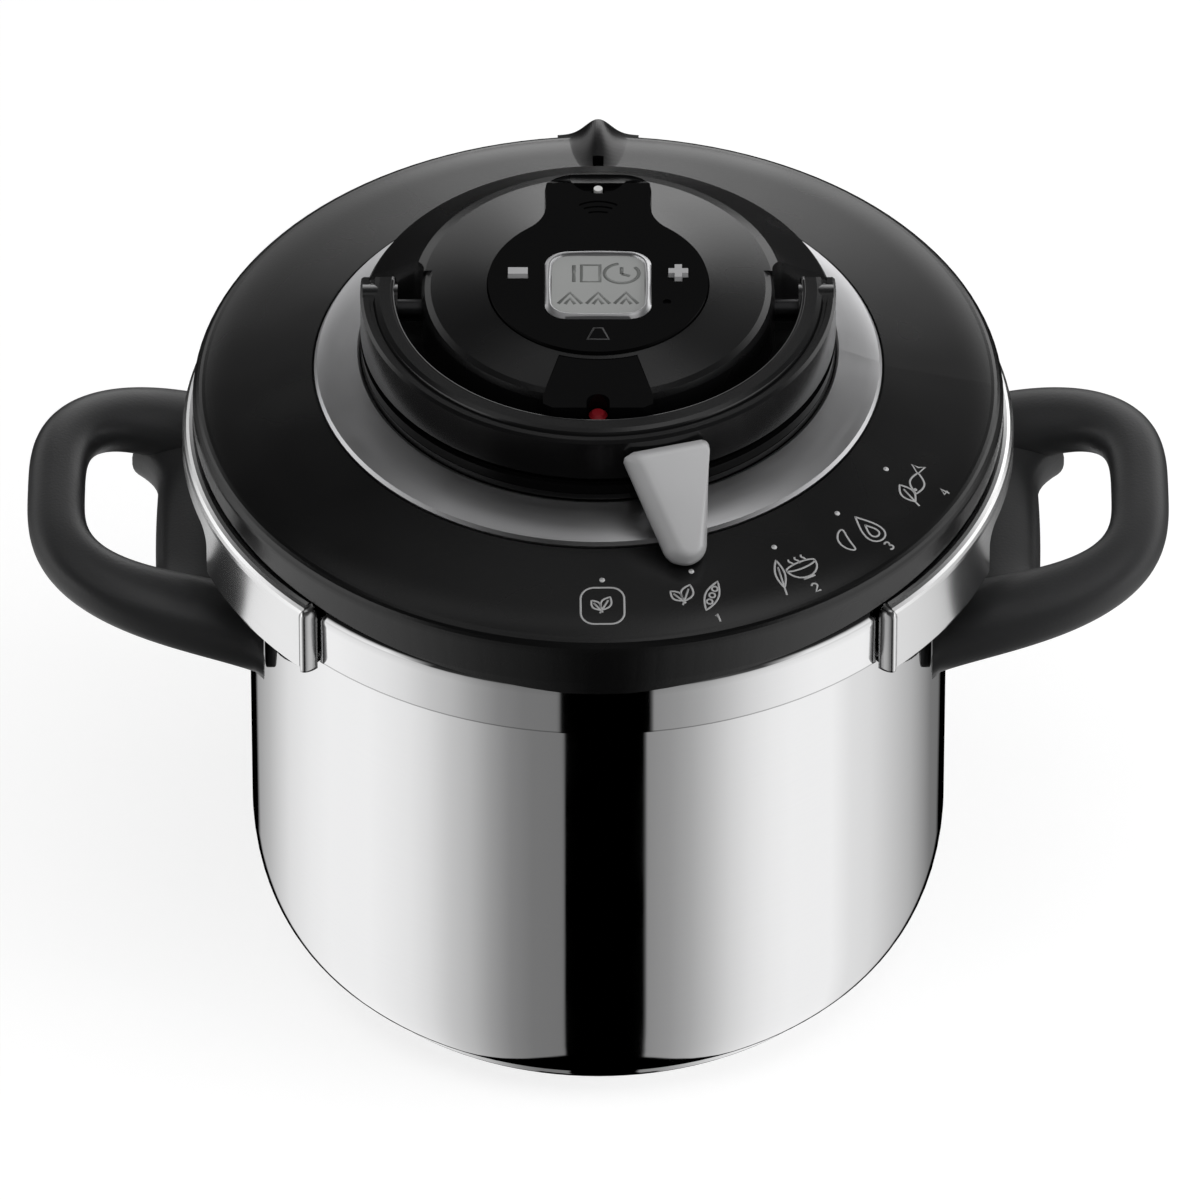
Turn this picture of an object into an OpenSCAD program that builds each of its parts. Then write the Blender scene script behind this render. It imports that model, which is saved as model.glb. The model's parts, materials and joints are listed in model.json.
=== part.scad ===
// Stovetop clamp-lid pressure cooker with a fold-down arch handle, a program lever and a lift-off timer.
// Origin: centre of the base on the surface that the pot stands on. +Z up, front towards -Y.

/* [Pot] */
// Outer diameter of the pot wall
pot_d = 222; // [200:1:250]
// Thickness of the pot wall
pot_wall = 1.2; // [1:0.1:2]
// Height of the pot rim above the table
rim_z = 178; // [150:1:220]
// Distance from the outside of the wall to the middle of the rolled rim
rim_reach = 7.2; // [6:0.1:8]
// Diameter of the rolled rim
bead_d = 4.4; // [3:0.1:5]
// Sideways reach of the rounded bottom edge
corner_w = 15.6; // [12:1:24]
// Height of the rounded bottom edge
corner_h = 36; // [24:1:44]
// Thickness of the three-layer base
base_t = 7; // [5:0.5:9]
// Thickness of the steel tray that closes the base
tray_wall = 0.8; // [0.6:0.1:1.2]
// Distance that the base is set in from the start of the rounded edge
base_step = 1; // [1:0.1:3]

/* [Side handles] */
// Distance from the middle of the pot to the middle of the grip
grip_reach = 172.1; // [168:0.2:180]
// Width of the grip bar
grip_w = 19.1; // [16:0.1:22]
// Width of a limb where it meets the pot
limb_w = 24; // [18:0.2:26]
// Height of the grip bar
grip_h = 20.8; // [18:0.1:26]
// Height of the middle of the grip bar below the rim
grip_drop = 14.1; // [12:0.1:20]
// Half of the distance between the two limbs of a handle
limb_y = 47; // [42:0.2:50]
// Height of a limb where it meets the pot
root_h = 26.4; // [24:0.1:32]
// Height of the middle of the handle root below the rim
root_drop = 29.4; // [25:0.1:34]
// Distance from the middle of the pot to the outer face of the handle root
root_reach = 139; // [134:1:143]
// Diameter of the handle screws
handle_screw_d = 4; // [3:0.1:5]

/* [Lid] */
// Gap between the rolled rim and the inside of the lid skirt
skirt_gap = 4.4; // [3:0.1:5]
// Thickness of the lid sheet
lid_wall = 1.2; // [1:0.1:1.6]
// How far the skirt hangs below the rim
skirt_drop = 6.3; // [5:0.1:6.4]
// Height of the lid sheet above the rim
lid_rise = 14.5; // [13:0.5:18]
// Radius of the lid shoulder
shoulder_r = 5; // [3:0.5:6]
// Gap between the seal and the metal that it presses on
seal_gap = 0.3; // [0.2:0.05:0.5]

/* [Jaws] */
// Gap between the lid skirt and the inside of a jaw
jaw_gap = 4.1; // [3.5:0.1:5]
// Thickness of the jaw sheet
jaw_wall = 1.4; // [1.2:0.1:1.8]
// Angle that one jaw covers
jaw_angle = 90.4; // [80:0.2:96]
// How far the jaw lip reaches inwards past the outside of the rim
jaw_hook = 5.6; // [4:0.1:6]
// Gap under the lid skirt to the jaw lip
jaw_lip_gap = 0.9; // [0.6:0.1:1.2]
// Half width of the cut-out over the side handle
notch_half = 46; // [40:1:52]
// Distance that a jaw travels when the arch handle is raised
jaw_travel = 12; // [11:0.5:13]
// Width of a jaw arm
arm_w = 26; // [22:1:28]
// Thickness of a jaw arm
arm_t = 2.5; // [2:0.1:3]

/* [Cover] */
// How far the cover stands out over the lid skirt
cover_over = 2; // [1.6:0.1:2.6]
// Wall thickness of the cover
cover_wall = 2.4; // [2:0.1:3]
// Height of the upper edge of the cover above the lid sheet
cover_edge_h = 17; // [15:0.5:20]
// Width of the silver trim ring from the drum outwards
ring_w = 14.7; // [12:0.1:16]
// Height of the outer edge of the trim ring above the lid sheet
ring_h = 25.8; // [24:0.1:28]
// Rise of the trim ring from its outer to its inner edge
ring_rise = 6; // [4:0.2:8]
// Thickness of the trim ring
ring_t = 2; // [1.6:0.1:2.4]
// Height of the steam outlet ridge
outlet_h = 6.5; // [4:0.5:8]

/* [Drum] */
// Outer diameter of the drum and of the arch handle
drum_d = 149.6; // [144:0.2:154]
// Height of the selector collar
collar_h = 4; // [3:0.5:6]
// Width of the arch handle bar
bail_w = 11; // [9:0.5:12]
// Height of the arch handle bar
bail_h = 17; // [15:0.5:19]
// Diameter of the front part of the dome
dome_d = 111; // [106:1:114]
// Wall thickness of the dome
dome_wall = 2; // [1.6:0.1:2.4]
// Running gap between parts that turn or slide
run_gap = 0.3; // [0.2:0.05:0.5]

/* [Selector] */
// Angle of the lever at rest from straight ahead
lever_angle = 16.3; // [-15:0.5:60]
// Distance from the middle of the lid to the lever tip
lever_reach = 105; // [98:1:110]
// Width of the lever at its root
lever_w = 28; // [22:1:30]
// Width of the lever at its tip
lever_tip_w = 15; // [10:1:18]

/* [Timer] */
// Diameter of the round part of the timer
timer_d = 69.4; // [66:0.2:74]
// Width of the timer neck
neck_w = 33; // [28:1:36]
// Height of the timer case
timer_h = 10; // [9:0.5:12]
// Side of the square display frame
frame_w = 33.5; // [28:0.5:34]
// Width of the display frame bar
frame_bar = 2; // [1.5:0.1:3]
// Distance from the middle of the timer to a button
button_x = 25.2; // [24:0.1:27]
// Size of a button symbol
button_w = 6.2; // [5:0.1:7]

/* [Hidden] */
$fn = 96;
eps = 0.01;

// Pot
pot_r = pot_d / 2;
rim_r = pot_r + rim_reach + bead_d / 2;
base_r = pot_r - corner_w - base_step;
lip_r = 3;

// Lid
skirt_in = rim_r + skirt_gap;
skirt_r = skirt_in + lid_wall;
skirt_z = rim_z - skirt_drop;
dish_z = rim_z + lid_rise;
seal_lip = 12;

// Jaws
jaw_r = skirt_r + jaw_gap + jaw_wall;
jaw_lip_r = rim_r - jaw_hook;
jaw_z = skirt_z - jaw_lip_gap - jaw_wall;
jaw_seat = 0.5;
flange_z = dish_z + jaw_seat + jaw_wall;
jaw_top = flange_z + 1.5;
jaw_round = 4.5;
flange_r = jaw_r - 14.5;
notch_top = dish_z - 5.5;
arm_end = flange_r + 4.1;
arm_top = flange_z + arm_t;
rivet_d = 4;
rivet_y = 8;

// Cover
cover_r = skirt_r + cover_over;
cover_low = dish_z - 3.3;
cover_edge = dish_z + cover_edge_h;
arch_slope = 0.095;
arch_start = 10;
ring_z = dish_z + ring_h;
ring_gap = 0.8;
drum_r = drum_d / 2;
ring_r = drum_r + ring_w;
ring_in = drum_r + 0.3;
ring_top = ring_z + ring_rise;
ring_slope = ring_rise / (ring_r - ring_in);
cover_hole = 60;
cover_slope = (ring_z - 1 - cover_edge) / (cover_r - 4 - ring_r);

// Drum
deck_z = ring_top;
deck_t = 2;
collar_z = deck_z + deck_t + run_gap;
collar_in = drum_r - 8.6;
bail_z = collar_z + collar_h + run_gap + 0.2;
bail_in = drum_r - bail_w;
lever_r = drum_r + 2.4;
cover_screw_r = drum_r - 7.8;
deck_top = bail_z - 0.3;
hub_r = bail_h / 2 - 0.1;
heel_r = 10.4;
hinge_z = bail_z + bail_h / 2;
dome_r = dome_d / 2;
dome_screw_r = dome_r - 11.5;
dome_z = bail_z + bail_h + 1;
dome_crown = 1;
wing_y = 14.2;
wing_flat = 58;
wing_tilt = 18;
wing_bend = 6;
shaft_d = 7;
fit = 0.05;
cam_r = 6.5;
cam_in = 33.6;
cam_len = 18.9;
pin_d = 4;
pin_x = cam_in + 3.5;
tab_t = 3;
tab_w = 8;

// Column and valves
column_r = 9;
bolt_d = 8;
valve_y = 50;
valve_r = 9;
valve_bore = 5;
stem_d = 4;
safety_x = -44;
safety_y = 40;
safety_r = 7;
red_y = -57.3;
red_d = 5.8;
red_stem = 4;
guide_t = 1.6;
guide_len = 92;
rail_t = 1.6;
rail_h = 5;

// Timer
contact_y = 50;
contact_d = 2.8;
timer_r = timer_d / 2;
timer_z = dome_z + dome_crown + 1 - timer_h;
timer_top = timer_z + timer_h;
timer_wall = 1.5;
timer_fit = 0.35;
timer_seat = 0.1;
timer_step = 3.7;
plate_z = timer_top - 2.8;
neck_end = 56.5;
neck_round = 14;
frame_z = timer_top - 1.2;
frame_h = 2.4;
frame_y = -1.9;
window_w = frame_w - 2 * frame_bar;
button_y = 3.5;
board_z = timer_z + 4.7;
board_t = 1;
post_r = timer_r - 9;
cell_y = -12;

// ---- shared shapes ----

// Points on an elliptical arc
function arc_points(cx, cy, rx, ry, from, to, steps) =
  [for (i = [0:steps]) let (a = from + (to - from) * i / steps) [cx + rx * cos(a), cy + ry * sin(a)]];

// Solid skin over a list of rings with equal numbers of points, closed by its two end rings
module skin(rings) {
  n = len(rings[0]);
  m = len(rings);
  side = [for (i = [0:m - 2], j = [0:n - 1]) let (k = (j + 1) % n)
    [i * n + j, i * n + k, (i + 1) * n + k, (i + 1) * n + j]];
  ends = [[for (j = [n - 1:-1:0]) j], [for (j = [0:n - 1]) (m - 1) * n + j]];
  polyhedron([for (r = rings) each r], concat(side, ends), convexity = 6);
}

// Round wire wound along a helix
module coil(coil_r, wire_r, length, turns) {
  per_turn = 14;
  sides = 6;
  steps = turns * per_turn;
  skin([for (i = [0:steps]) let (a = 360 * i / per_turn, z = wire_r + (length - 2 * wire_r) * i / steps)
    [for (j = [0:sides - 1]) let (b = 360 * j / sides, r = coil_r + wire_r * cos(b))
      [r * cos(a), r * sin(a), z + wire_r * sin(b)]]]);
}

// Screw pointing up, with its head below z = 0
module screw_up(d, length, head_d, head_h) {
  translate([0, 0, -eps])
    cylinder(d = d, h = length + eps);
  translate([0, 0, -head_h])
    cylinder(d = head_d, h = head_h);
}

module ring_of(r, count, start) {
  for (i = [0:count - 1])
    rotate([0, 0, start + 360 * i / count])
      translate([r, 0, 0])
        children();
}

module rounded_square(w, r) {
  for (sx = [-1, 1], sy = [-1, 1])
    translate([sx * (w / 2 - r), sy * (w / 2 - r)])
      circle(r);
  square([w, w - 2 * r], center = true);
  square([w - 2 * r, w], center = true);
}

// ---- pot ----

module pot_body() {
  inner_w = corner_w - pot_wall;
  inner_h = corner_h - pot_wall;
  outside = arc_points(pot_r - corner_w, base_t + corner_h, corner_w, corner_h, -90, 0, 14);
  inside = arc_points(pot_r - corner_w, base_t + corner_h, inner_w, inner_h, 0, -90, 14);
  mouth = arc_points(pot_r - pot_wall + lip_r, rim_z - lip_r, lip_r, lip_r, 90, 180, 6);
  color("silver")
    rotate_extrude($fn = 128) {
      polygon(concat([[0, base_t]], outside,
        [[pot_r, rim_z - pot_wall], [pot_r + rim_reach, rim_z - pot_wall], [pot_r + rim_reach, rim_z]],
        mouth, inside, [[0, base_t + pot_wall]]));
      translate([pot_r + rim_reach, rim_z - bead_d / 2])
        circle(d = bead_d, $fn = 32);
    }
}

module base_core() {
  side = base_r - tray_wall - 0.1;
  bend = 2.4;
  color("gainsboro")
    rotate_extrude($fn = 128)
      polygon(concat([[0, tray_wall]], arc_points(side - bend, tray_wall + bend, bend, bend, -90, 0, 6),
        [[side, base_t], [0, base_t]]));
}

module base_tray() {
  edge = 3;
  outside = arc_points(base_r - edge, edge, edge, edge, -90, 0, 6);
  inside = arc_points(base_r - edge, edge, edge - tray_wall, edge - tray_wall, 0, -90, 6);
  color("silver")
    rotate_extrude($fn = 128)
      polygon(concat([[0, 0]], outside, [[base_r, base_t], [base_r - tray_wall, base_t]], inside,
        [[0, tray_wall]]));
}

// ---- side handles ----

// Middle line of a handle: out along the front limb, round the grip and back
function handle_angle(t) = -90 + 180 * t;
function handle_squash(v, power) = sign(v) * pow(abs(v), power);
function handle_x(t) = pot_r - 4 + (grip_reach - pot_r + 4) * handle_squash(cos(handle_angle(t)), 0.67);
function handle_flare(t) = pow(abs(2 * t - 1), 6);
function handle_y(t) = (limb_y + 3 * handle_flare(t)) * handle_squash(sin(handle_angle(t)), 0.57);
function handle_out(t) = max(0, cos(handle_angle(t)));
function handle_z(t) = rim_z - root_drop + (root_drop - grip_drop) * pow(handle_out(t), 0.62);
function handle_high(t) = root_h + (grip_h - root_h) * pow(handle_out(t), 0.72);
function handle_wide(t) = limb_w + (grip_w - limb_w) * pow(handle_out(t), 0.72);

// Section across the middle line: an oval
function handle_ring(t, sides, back = 0) =
  let (d = 0.004, dx = handle_x(min(1, t + d)) - handle_x(max(0, t - d)),
    dy = handle_y(min(1, t + d)) - handle_y(max(0, t - d)), l = norm([dx, dy]), nx = dy / l, ny = -dx / l)
  [for (j = [0:sides - 1]) let (a = 360 * j / sides,
      u = cos(a) * handle_wide(t) / 2,
      v = sin(a) * handle_high(t) / 2)
    [handle_x(t) - back + nx * u, handle_y(t) + ny * u, handle_z(t) + v]];

module handle() {
  steps = 48;
  sides = 26;
  root_z = rim_z - root_drop;
  face = pot_r + 2.4;
  color("dimgray")
    difference() {
      union() {
        skin(concat([handle_ring(0, sides, 2.3)], [for (i = [0:steps]) handle_ring(i / steps, sides)],
          [handle_ring(1, sides, 2.3)]));
        translate([0, 0, root_z - root_h / 2 + 1])
          intersection() {
            translate([pot_r - 14, -limb_y + 7, 0])
              cube([60, 2 * limb_y - 14, root_h - 2]);
            cylinder(r1 = root_reach + 2.5, r2 = root_reach - 2, h = root_h - 2);
          }
      }
      cylinder(r = face, h = rim_z);
      for (y = [-20, 20])
        translate([face - 4, y, root_z])
          rotate([0, 90, 0]) {
            cylinder(d = handle_screw_d + 0.3, h = 40);
            translate([0, 0, 14])
              cylinder(d = 2 * handle_screw_d + 0.6, h = 40);
          }
    }
}

module bracket() {
  half = 26;
  color("darkslategray")
    translate([0, 0, rim_z - root_drop - root_h / 2 - 2.5])
      difference() {
        rotate([0, 0, -half])
          rotate_extrude(angle = 2 * half)
            translate([pot_r + 0.1, 0])
              square([2.1, root_h + 4]);
        for (y = [-20, 20])
          translate([pot_r - 10, y, root_h / 2 + 2.5])
            rotate([0, 90, 0])
              cylinder(d = handle_screw_d + 0.1, h = 20);
      }
}

module handle_right() handle();
module handle_left() mirror([1, 0, 0]) handle();
module bracket_right() bracket();
module bracket_left() mirror([1, 0, 0]) bracket();

module handle_screws() {
  seat = pot_r + 2.4 + 10;
  color("gray")
    for (s = [-1, 1], y = [-20, 20])
      translate([s * seat, y, rim_z - root_drop])
        rotate([0, -90 * s, 0])
          screw_up(handle_screw_d, seat - sqrt(pow(pot_r + 0.3, 2) - 400), 2 * handle_screw_d, 3);
}

// ---- lid ----

module lid_dish() {
  outer = arc_points(skirt_r - shoulder_r, dish_z - shoulder_r, shoulder_r, shoulder_r, 0, 90, 8);
  bend = shoulder_r - lid_wall;
  inner = arc_points(skirt_r - shoulder_r, dish_z - shoulder_r, bend, bend, 90, 0, 8);
  color("silver")
    difference() {
      rotate_extrude($fn = 128)
        polygon(concat([[skirt_in, skirt_z], [skirt_r, skirt_z]], outer,
          [[0, dish_z], [0, dish_z - lid_wall]], inner));
      translate([0, 0, dish_z - 5]) {
        cylinder(d = bolt_d + 0.4, h = 10);
        translate([0, valve_y, 0])
          cylinder(r = valve_bore + 0.1, h = 10);
        translate([safety_x, safety_y, 0])
          cylinder(r = valve_bore + 0.1, h = 10);
        translate([0, red_y, 0])
          cylinder(d = red_stem + 4.1, h = 10);
      }
    }
}

module lid_seal() {
  top = dish_z - lid_wall - seal_gap;
  low = rim_z + seal_gap;
  out = skirt_in - seal_gap - 0.6;
  color("darkgray")
    rotate_extrude($fn = 128)
      polygon([
        [out, low + 1], [out, top - 2.5], [out - 2, top], [out - seal_lip + 1, top],
        [out - seal_lip, top - 1], [out - seal_lip + 1, top - 2.2], [out - 3.5, top - 3.2],
        [out - 3.5, low + 3.4], [out - seal_lip + 1.4, low + 2.2], [out - seal_lip, low + 1],
        [out - seal_lip + 1, low], [out - 1, low]
      ]);
}

module column() {
  color("slategray")
    translate([0, 0, dish_z + guide_t])
      difference() {
        cylinder(r = column_r, h = deck_z - dish_z - guide_t);
        translate([0, 0, -1])
          cylinder(d = bolt_d + 0.4, h = deck_z - dish_z + 2);
      }
}

module center_bolt() {
  color("lightgray") {
    translate([0, 0, dish_z - lid_wall - 4])
      cylinder(d = bolt_d + 10, h = 4, $fn = 6);
    translate([0, 0, dish_z - lid_wall - eps])
      cylinder(d = bolt_d, h = deck_z + deck_t + 5 - dish_z + lid_wall);
  }
}

module center_nut() {
  color("lightgray")
    translate([0, 0, deck_z + deck_t])
      difference() {
        cylinder(d = bolt_d + 7, h = 4, $fn = 6);
        translate([0, 0, -1])
          cylinder(d = bolt_d + 2 * fit, h = 6);
      }
}

module guide_plate() {
  rail_in = arm_w / 2 + run_gap;
  color("lightsteelblue")
    translate([0, 0, dish_z])
      difference() {
        union() {
          translate([-guide_len, -rail_in - rail_t, 0])
            cube([2 * guide_len, 2 * (rail_in + rail_t), guide_t]);
          for (s = [-1, 1])
            translate([-guide_len, s > 0 ? rail_in : -rail_in - rail_t, 0])
              cube([2 * guide_len, rail_t, guide_t + rail_h]);
        }
        translate([0, 0, -1])
          cylinder(d = bolt_d + 0.4, h = 10);
      }
}

// ---- cover ----

// Height of the outer slope of the cover at a distance from the middle
function cover_top(r) = cover_edge + cover_slope * (cover_r - 4 - r);
// Height of the trim ring at a distance from the middle
function ring_surface(r) = ring_z + ring_slope * (ring_r - r);

// Ridge that swells towards the back edge, with soft flanks
module outlet_ridge() {
  start = 96;
  half = 13;
  across = 40;
  along = 14;
  skin([for (j = [0:along]) let (f = j / along, r = start + (cover_r + 1 - start) * f, h = outlet_h * pow(f, 1.4))
    concat(
      [for (i = [0:across]) let (x = half - 2 * half * i / across)
        [x, r, cover_top(r) - 0.4 + h * exp(-pow(x / 5.6, 2))]],
      [[-half, r, cover_top(r) - 2], [half, r, cover_top(r) - 2]])]);
}

module cover() {
  w = cover_wall;
  seat = ring_surface(ring_r + ring_gap) - ring_t - 0.2;
  seat_in = ring_surface(ring_in) - ring_t - 0.2;
  lip = deck_z - 0.2;
  edge = arc_points(cover_r - 4, cover_edge - 4, 4, 4, 0, 90, 6);
  color("black")
    difference() {
      union() {
        rotate_extrude($fn = 128)
          polygon(concat(
            [[cover_r - 1.8, cover_low], [cover_r - 0.7, cover_low], [cover_r, cover_low + 5]],
            edge,
            [[ring_r + ring_gap, cover_top(ring_r + ring_gap)], [ring_r + ring_gap, seat],
            [drum_r - 1, seat_in], [drum_r - 1, lip], [cover_hole, lip], [cover_hole, lip - w],
            [drum_r - 1 - w, lip - w], [drum_r - 1 - w, seat_in - w], [ring_r, seat - w], [ring_r + 3, seat - w + 0.4],
            [cover_r - 5, cover_edge - w], [cover_r - w, cover_edge - 5], [cover_r - w + 0.4, cover_low + 5]]));
        intersection() {
          outlet_ridge();
          cylinder(r = cover_r, h = 400);
        }
      }
      for (s = [0, 1])
        mirror([s, 0, 0])
          translate([arch_start, -cover_r - 5, cover_low])
            rotate([0, -atan(arch_slope), 0])
              translate([0, 0, -60])
                cube([200, 2 * cover_r + 10, 60]);
      translate([-1.75, cover_r - 26.5, cover_edge - 12])
        cube([3.5, 8, 40]);
      translate([0, 0, lip - 10])
        ring_of(cover_screw_r, 4, 45)
          cylinder(d = 3.4, h = 20);
    }
}

module trim_ring() {
  round_in = 0.8;
  color("darkgray")
    rotate_extrude($fn = 128)
      polygon([
        [ring_in, ring_surface(ring_in) - ring_t], [ring_r, ring_z - ring_t],
        [ring_r, ring_z - round_in], [ring_r - round_in, ring_surface(ring_r - round_in)],
        [ring_in + round_in, ring_surface(ring_in + round_in)], [ring_in, ring_surface(ring_in) - 0.5]
      ]);
}

module cover_screws() {
  color("gray")
    translate([0, 0, deck_z - 0.2 - cover_wall])
      ring_of(cover_screw_r, 4, 45)
        screw_up(3, cover_wall + 1.8, 6, 2);
}

// ---- drum ----

module drum_deck() {
  color([0.07, 0.07, 0.07])
    difference() {
      union() {
        translate([0, 0, deck_z])
          cylinder(r = drum_r, h = deck_t);
        translate([0, 0, deck_z])
          cylinder(r = collar_in - run_gap, h = deck_top - deck_z);
      }
      translate([0, 0, deck_z + deck_t])
        cylinder(r = dome_r - 4, h = 20);
      translate([0, 0, deck_z - 1]) {
        cylinder(d = bolt_d + 0.4, h = 20);
        translate([0, red_y, 0])
          cylinder(d = red_d + 0.8, h = 20);
        translate([0, contact_y, 0])
          cylinder(d = 4.1, h = 20);
        for (s = [-1, 1])
          translate([s * (pin_x + jaw_travel / 2) - jaw_travel / 2 - tab_t, -tab_w / 2 - 1, 0])
            cube([jaw_travel + 2 * tab_t, tab_w + 2, 20]);
        ring_of(dome_screw_r, 4, 45)
          cylinder(d = 3.4, h = 20);
        ring_of(cover_screw_r, 4, 45)
          cylinder(d = 3.1, h = 2.8);
      }
    }
}

// Area behind the sloping front faces of the dome's wings, with hollow corners against the round front part
module wing_area(shrink) {
  m = tan(wing_tilt);
  low = wing_y + shrink / cos(wing_tilt);
  side = dome_r - shrink;
  bend = wing_bend + shrink;
  k = low - bend / cos(wing_tilt) - m * wing_flat;
  x = (sqrt(pow(k * m, 2) - (1 + m * m) * (k * k - pow(side + bend, 2))) - k * m) / (1 + m * m);
  y = k + m * x;
  at = side / (side + bend);
  for (s = [0, 1])
    mirror([s, 0]) {
      polygon([[0, low], [wing_flat - 8, low - 8 * m], [drum_r + 5, low + m * (drum_r + 5 - wing_flat)],
        [drum_r + 5, drum_r + 5], [0, drum_r + 5]]);
      difference() {
        polygon([[x * at - 4, y * at], [x * at, y * at], [x, y],
          [x - bend * sin(wing_tilt), y + bend * cos(wing_tilt)], [x * at - 4, low]]);
        translate([x, y])
          circle(bend + 0.12);
      }
    }
}

module dome_shape(shrink) {
  top = dome_z + dome_crown;
  side = dome_r - shrink;
  wing = drum_r - shrink;
  difference() {
    intersection() {
      rotate_extrude()
        polygon([
          [0, deck_top], [wing, deck_top], [wing, dome_z - 12.2 - shrink / 2], [wing - 1, dome_z - 10.6 - shrink],
          [wing_flat - shrink * 0.5, dome_z - 0.6 - shrink], [wing_flat - 3, dome_z - shrink],
          [dome_r - 24, dome_z + 0.8 - shrink], [0, top - shrink]
        ]);
      translate([0, 0, deck_top - 1])
        linear_extrude(60) {
          circle(side);
          wing_area(shrink);
        }
    }
    difference() {
      rotate_extrude()
        polygon([
          [side - 3, dome_z + 2 - shrink], [side - 3, dome_z + 0.15 - shrink], [side - 1, dome_z - 0.8 - shrink],
          [side + 0.4, dome_z - 3.4 - shrink], [side + 1.2, dome_z - 3.4 - shrink], [side + 1.2, dome_z + 2 - shrink]
        ]);
      translate([0, 0, deck_top - 2])
        linear_extrude(70)
          wing_area(shrink);
    }
  }
}

// Outline of the timer: a disc with a neck to the back, joined by hollow curves
module timer_outline(grow) {
  neck = neck_w / 2 + grow;
  disc = timer_r + grow;
  bend = neck_round - grow;
  side = neck + bend;
  high = sqrt(pow(disc + bend, 2) - pow(side, 2));
  corner = 9 + grow;
  circle(disc);
  translate([-neck, 0])
    square([2 * neck, neck_end + grow - corner]);
  translate([corner - neck, 0])
    square([2 * (neck - corner), neck_end + grow]);
  for (s = [-1, 1])
    translate([s * (neck - corner), neck_end + grow - corner])
      circle(corner);
  for (s = [0, 1])
    mirror([s, 0])
      difference() {
        polygon([[0, 0], [side, high], [neck - 1, high]]);
        translate([side, high])
          circle(bend);
      }
}

module guard_outline(grow) {
  back = 12.1 + grow;
  front = 17.2 + grow;
  polygon([
    [-back, -timer_r + 6], [-back, -timer_r], [-front, red_y + 3], [-front, red_y - 1 - grow],
    [-front + 3, red_y - 3 - grow], [front - 3, red_y - 3 - grow], [front, red_y - 1 - grow],
    [front, red_y + 3], [back, -timer_r], [back, -timer_r + 6]
  ]);
}

module dome() {
  color([0.1, 0.1, 0.1])
    difference() {
      union() {
        difference() {
          dome_shape(0);
          translate([0, 0, -eps])
            dome_shape(dome_wall);
        }
        intersection() {
          dome_shape(0);
          union() {
            translate([0, 0, timer_z - timer_seat - 1.6])
              linear_extrude(20)
                timer_outline(timer_fit + 1.6 - timer_step);
            translate([0, 0, plate_z - timer_seat - 1.6])
              linear_extrude(10)
                timer_outline(timer_fit + 1.6);
          }
        }
        translate([0, 0, deck_top])
          ring_of(dome_screw_r, 4, 45)
            cylinder(d = 7, h = dome_z - deck_top - 1.5);
      }
      translate([0, 0, timer_z - timer_seat])
        linear_extrude(30)
          timer_outline(timer_fit - timer_step);
      translate([0, 0, plate_z - timer_seat])
        linear_extrude(30)
          timer_outline(timer_fit);
      translate([0, 0, dome_z - 9])
        linear_extrude(30)
          difference() {
            guard_outline(0.2);
            circle(timer_r + timer_fit + 1.6);
          }
      translate([0, 0, deck_top - 1])
        ring_of(dome_screw_r, 4, 45)
          cylinder(d = 2.9, h = 10);
      for (s = [-1, 1])
        translate([0, 0, hinge_z])
          rotate([0, s * 90, 0])
            translate([0, 0, dome_r - 6])
              cylinder(d = shaft_d + 2 * fit, h = 8);
      translate([0, red_y, deck_top - 1])
        cylinder(d = red_d + 0.8, h = 30);
      translate([0, contact_y, deck_top - 1])
        cylinder(d = contact_d + 0.1, h = 30);
    }
}

module dome_screws() {
  color("gray")
    translate([0, 0, deck_z])
      ring_of(dome_screw_r, 4, 45)
        screw_up(2.8, 12, 6, 2);
}

module pin_guard() {
  low = dome_z - 8.8;
  color([0.03, 0.03, 0.03])
    difference() {
      union() {
        translate([0, 0, low])
          linear_extrude(9.2)
            difference() {
              guard_outline(0);
              circle(timer_r + timer_fit + 1.7);
            }
        translate([0, 0, deck_top])
          linear_extrude(low - deck_top + 1)
            difference() {
              guard_outline(0);
              circle(dome_r + 0.2);
            }
      }
      translate([0, red_y, deck_top - 1])
        cylinder(d = red_d + 1.4, h = 30);
      translate([-(red_d + 1.4) / 2, red_y - 10, low])
        cube([red_d + 1.4, 10, 20]);
      translate([-30, red_y - 3, low + 4])
        rotate([38, 0, 0])
          translate([0, -20, 0])
            cube([60, 20, 20]);
    }
}

module red_pin() {
  top = dome_z - 4;
  color("firebrick") {
    translate([0, red_y, dish_z - 6])
      cylinder(d = red_stem, h = deck_z - dish_z + 8);
    translate([0, red_y, deck_z + 1])
      cylinder(d = red_d, h = top - deck_z - 2);
    translate([0, red_y, top - 1 - eps])
      cylinder(r1 = red_d / 2, r2 = red_d / 2 - 1, h = 1);
  }
}

module pin_bush() {
  color("goldenrod")
    translate([0, red_y, dish_z - 4])
      difference() {
        union() {
          cylinder(d = red_stem + 4, h = 12);
          cylinder(d = red_stem + 8, h = 4 - lid_wall);
        }
        translate([0, 0, -1])
          cylinder(d = red_stem + 2 * fit, h = 20);
      }
}

// ---- valves and steam path ----

module valve_body() {
  color("goldenrod")
    translate([0, valve_y, 0])
      difference() {
        union() {
          translate([0, 0, dish_z - lid_wall - 5])
            cylinder(r = valve_r, h = 5);
          translate([0, 0, dish_z - lid_wall - eps])
            cylinder(r = valve_bore, h = lid_wall + 2 * eps);
          translate([0, 0, dish_z])
            cylinder(r = valve_r, h = 12);
        }
        translate([0, 0, dish_z - 10])
          cylinder(d = 3, h = 20);
        translate([0, 0, dish_z + 3])
          cylinder(r1 = 1.5, r2 = 4.5, h = 3);
        translate([0, 0, dish_z + 6 - eps])
          cylinder(r = 4.5, h = 8);
        translate([-3, 0, dish_z + 7])
          cube([6, 20, 3]);
      }
}

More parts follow.
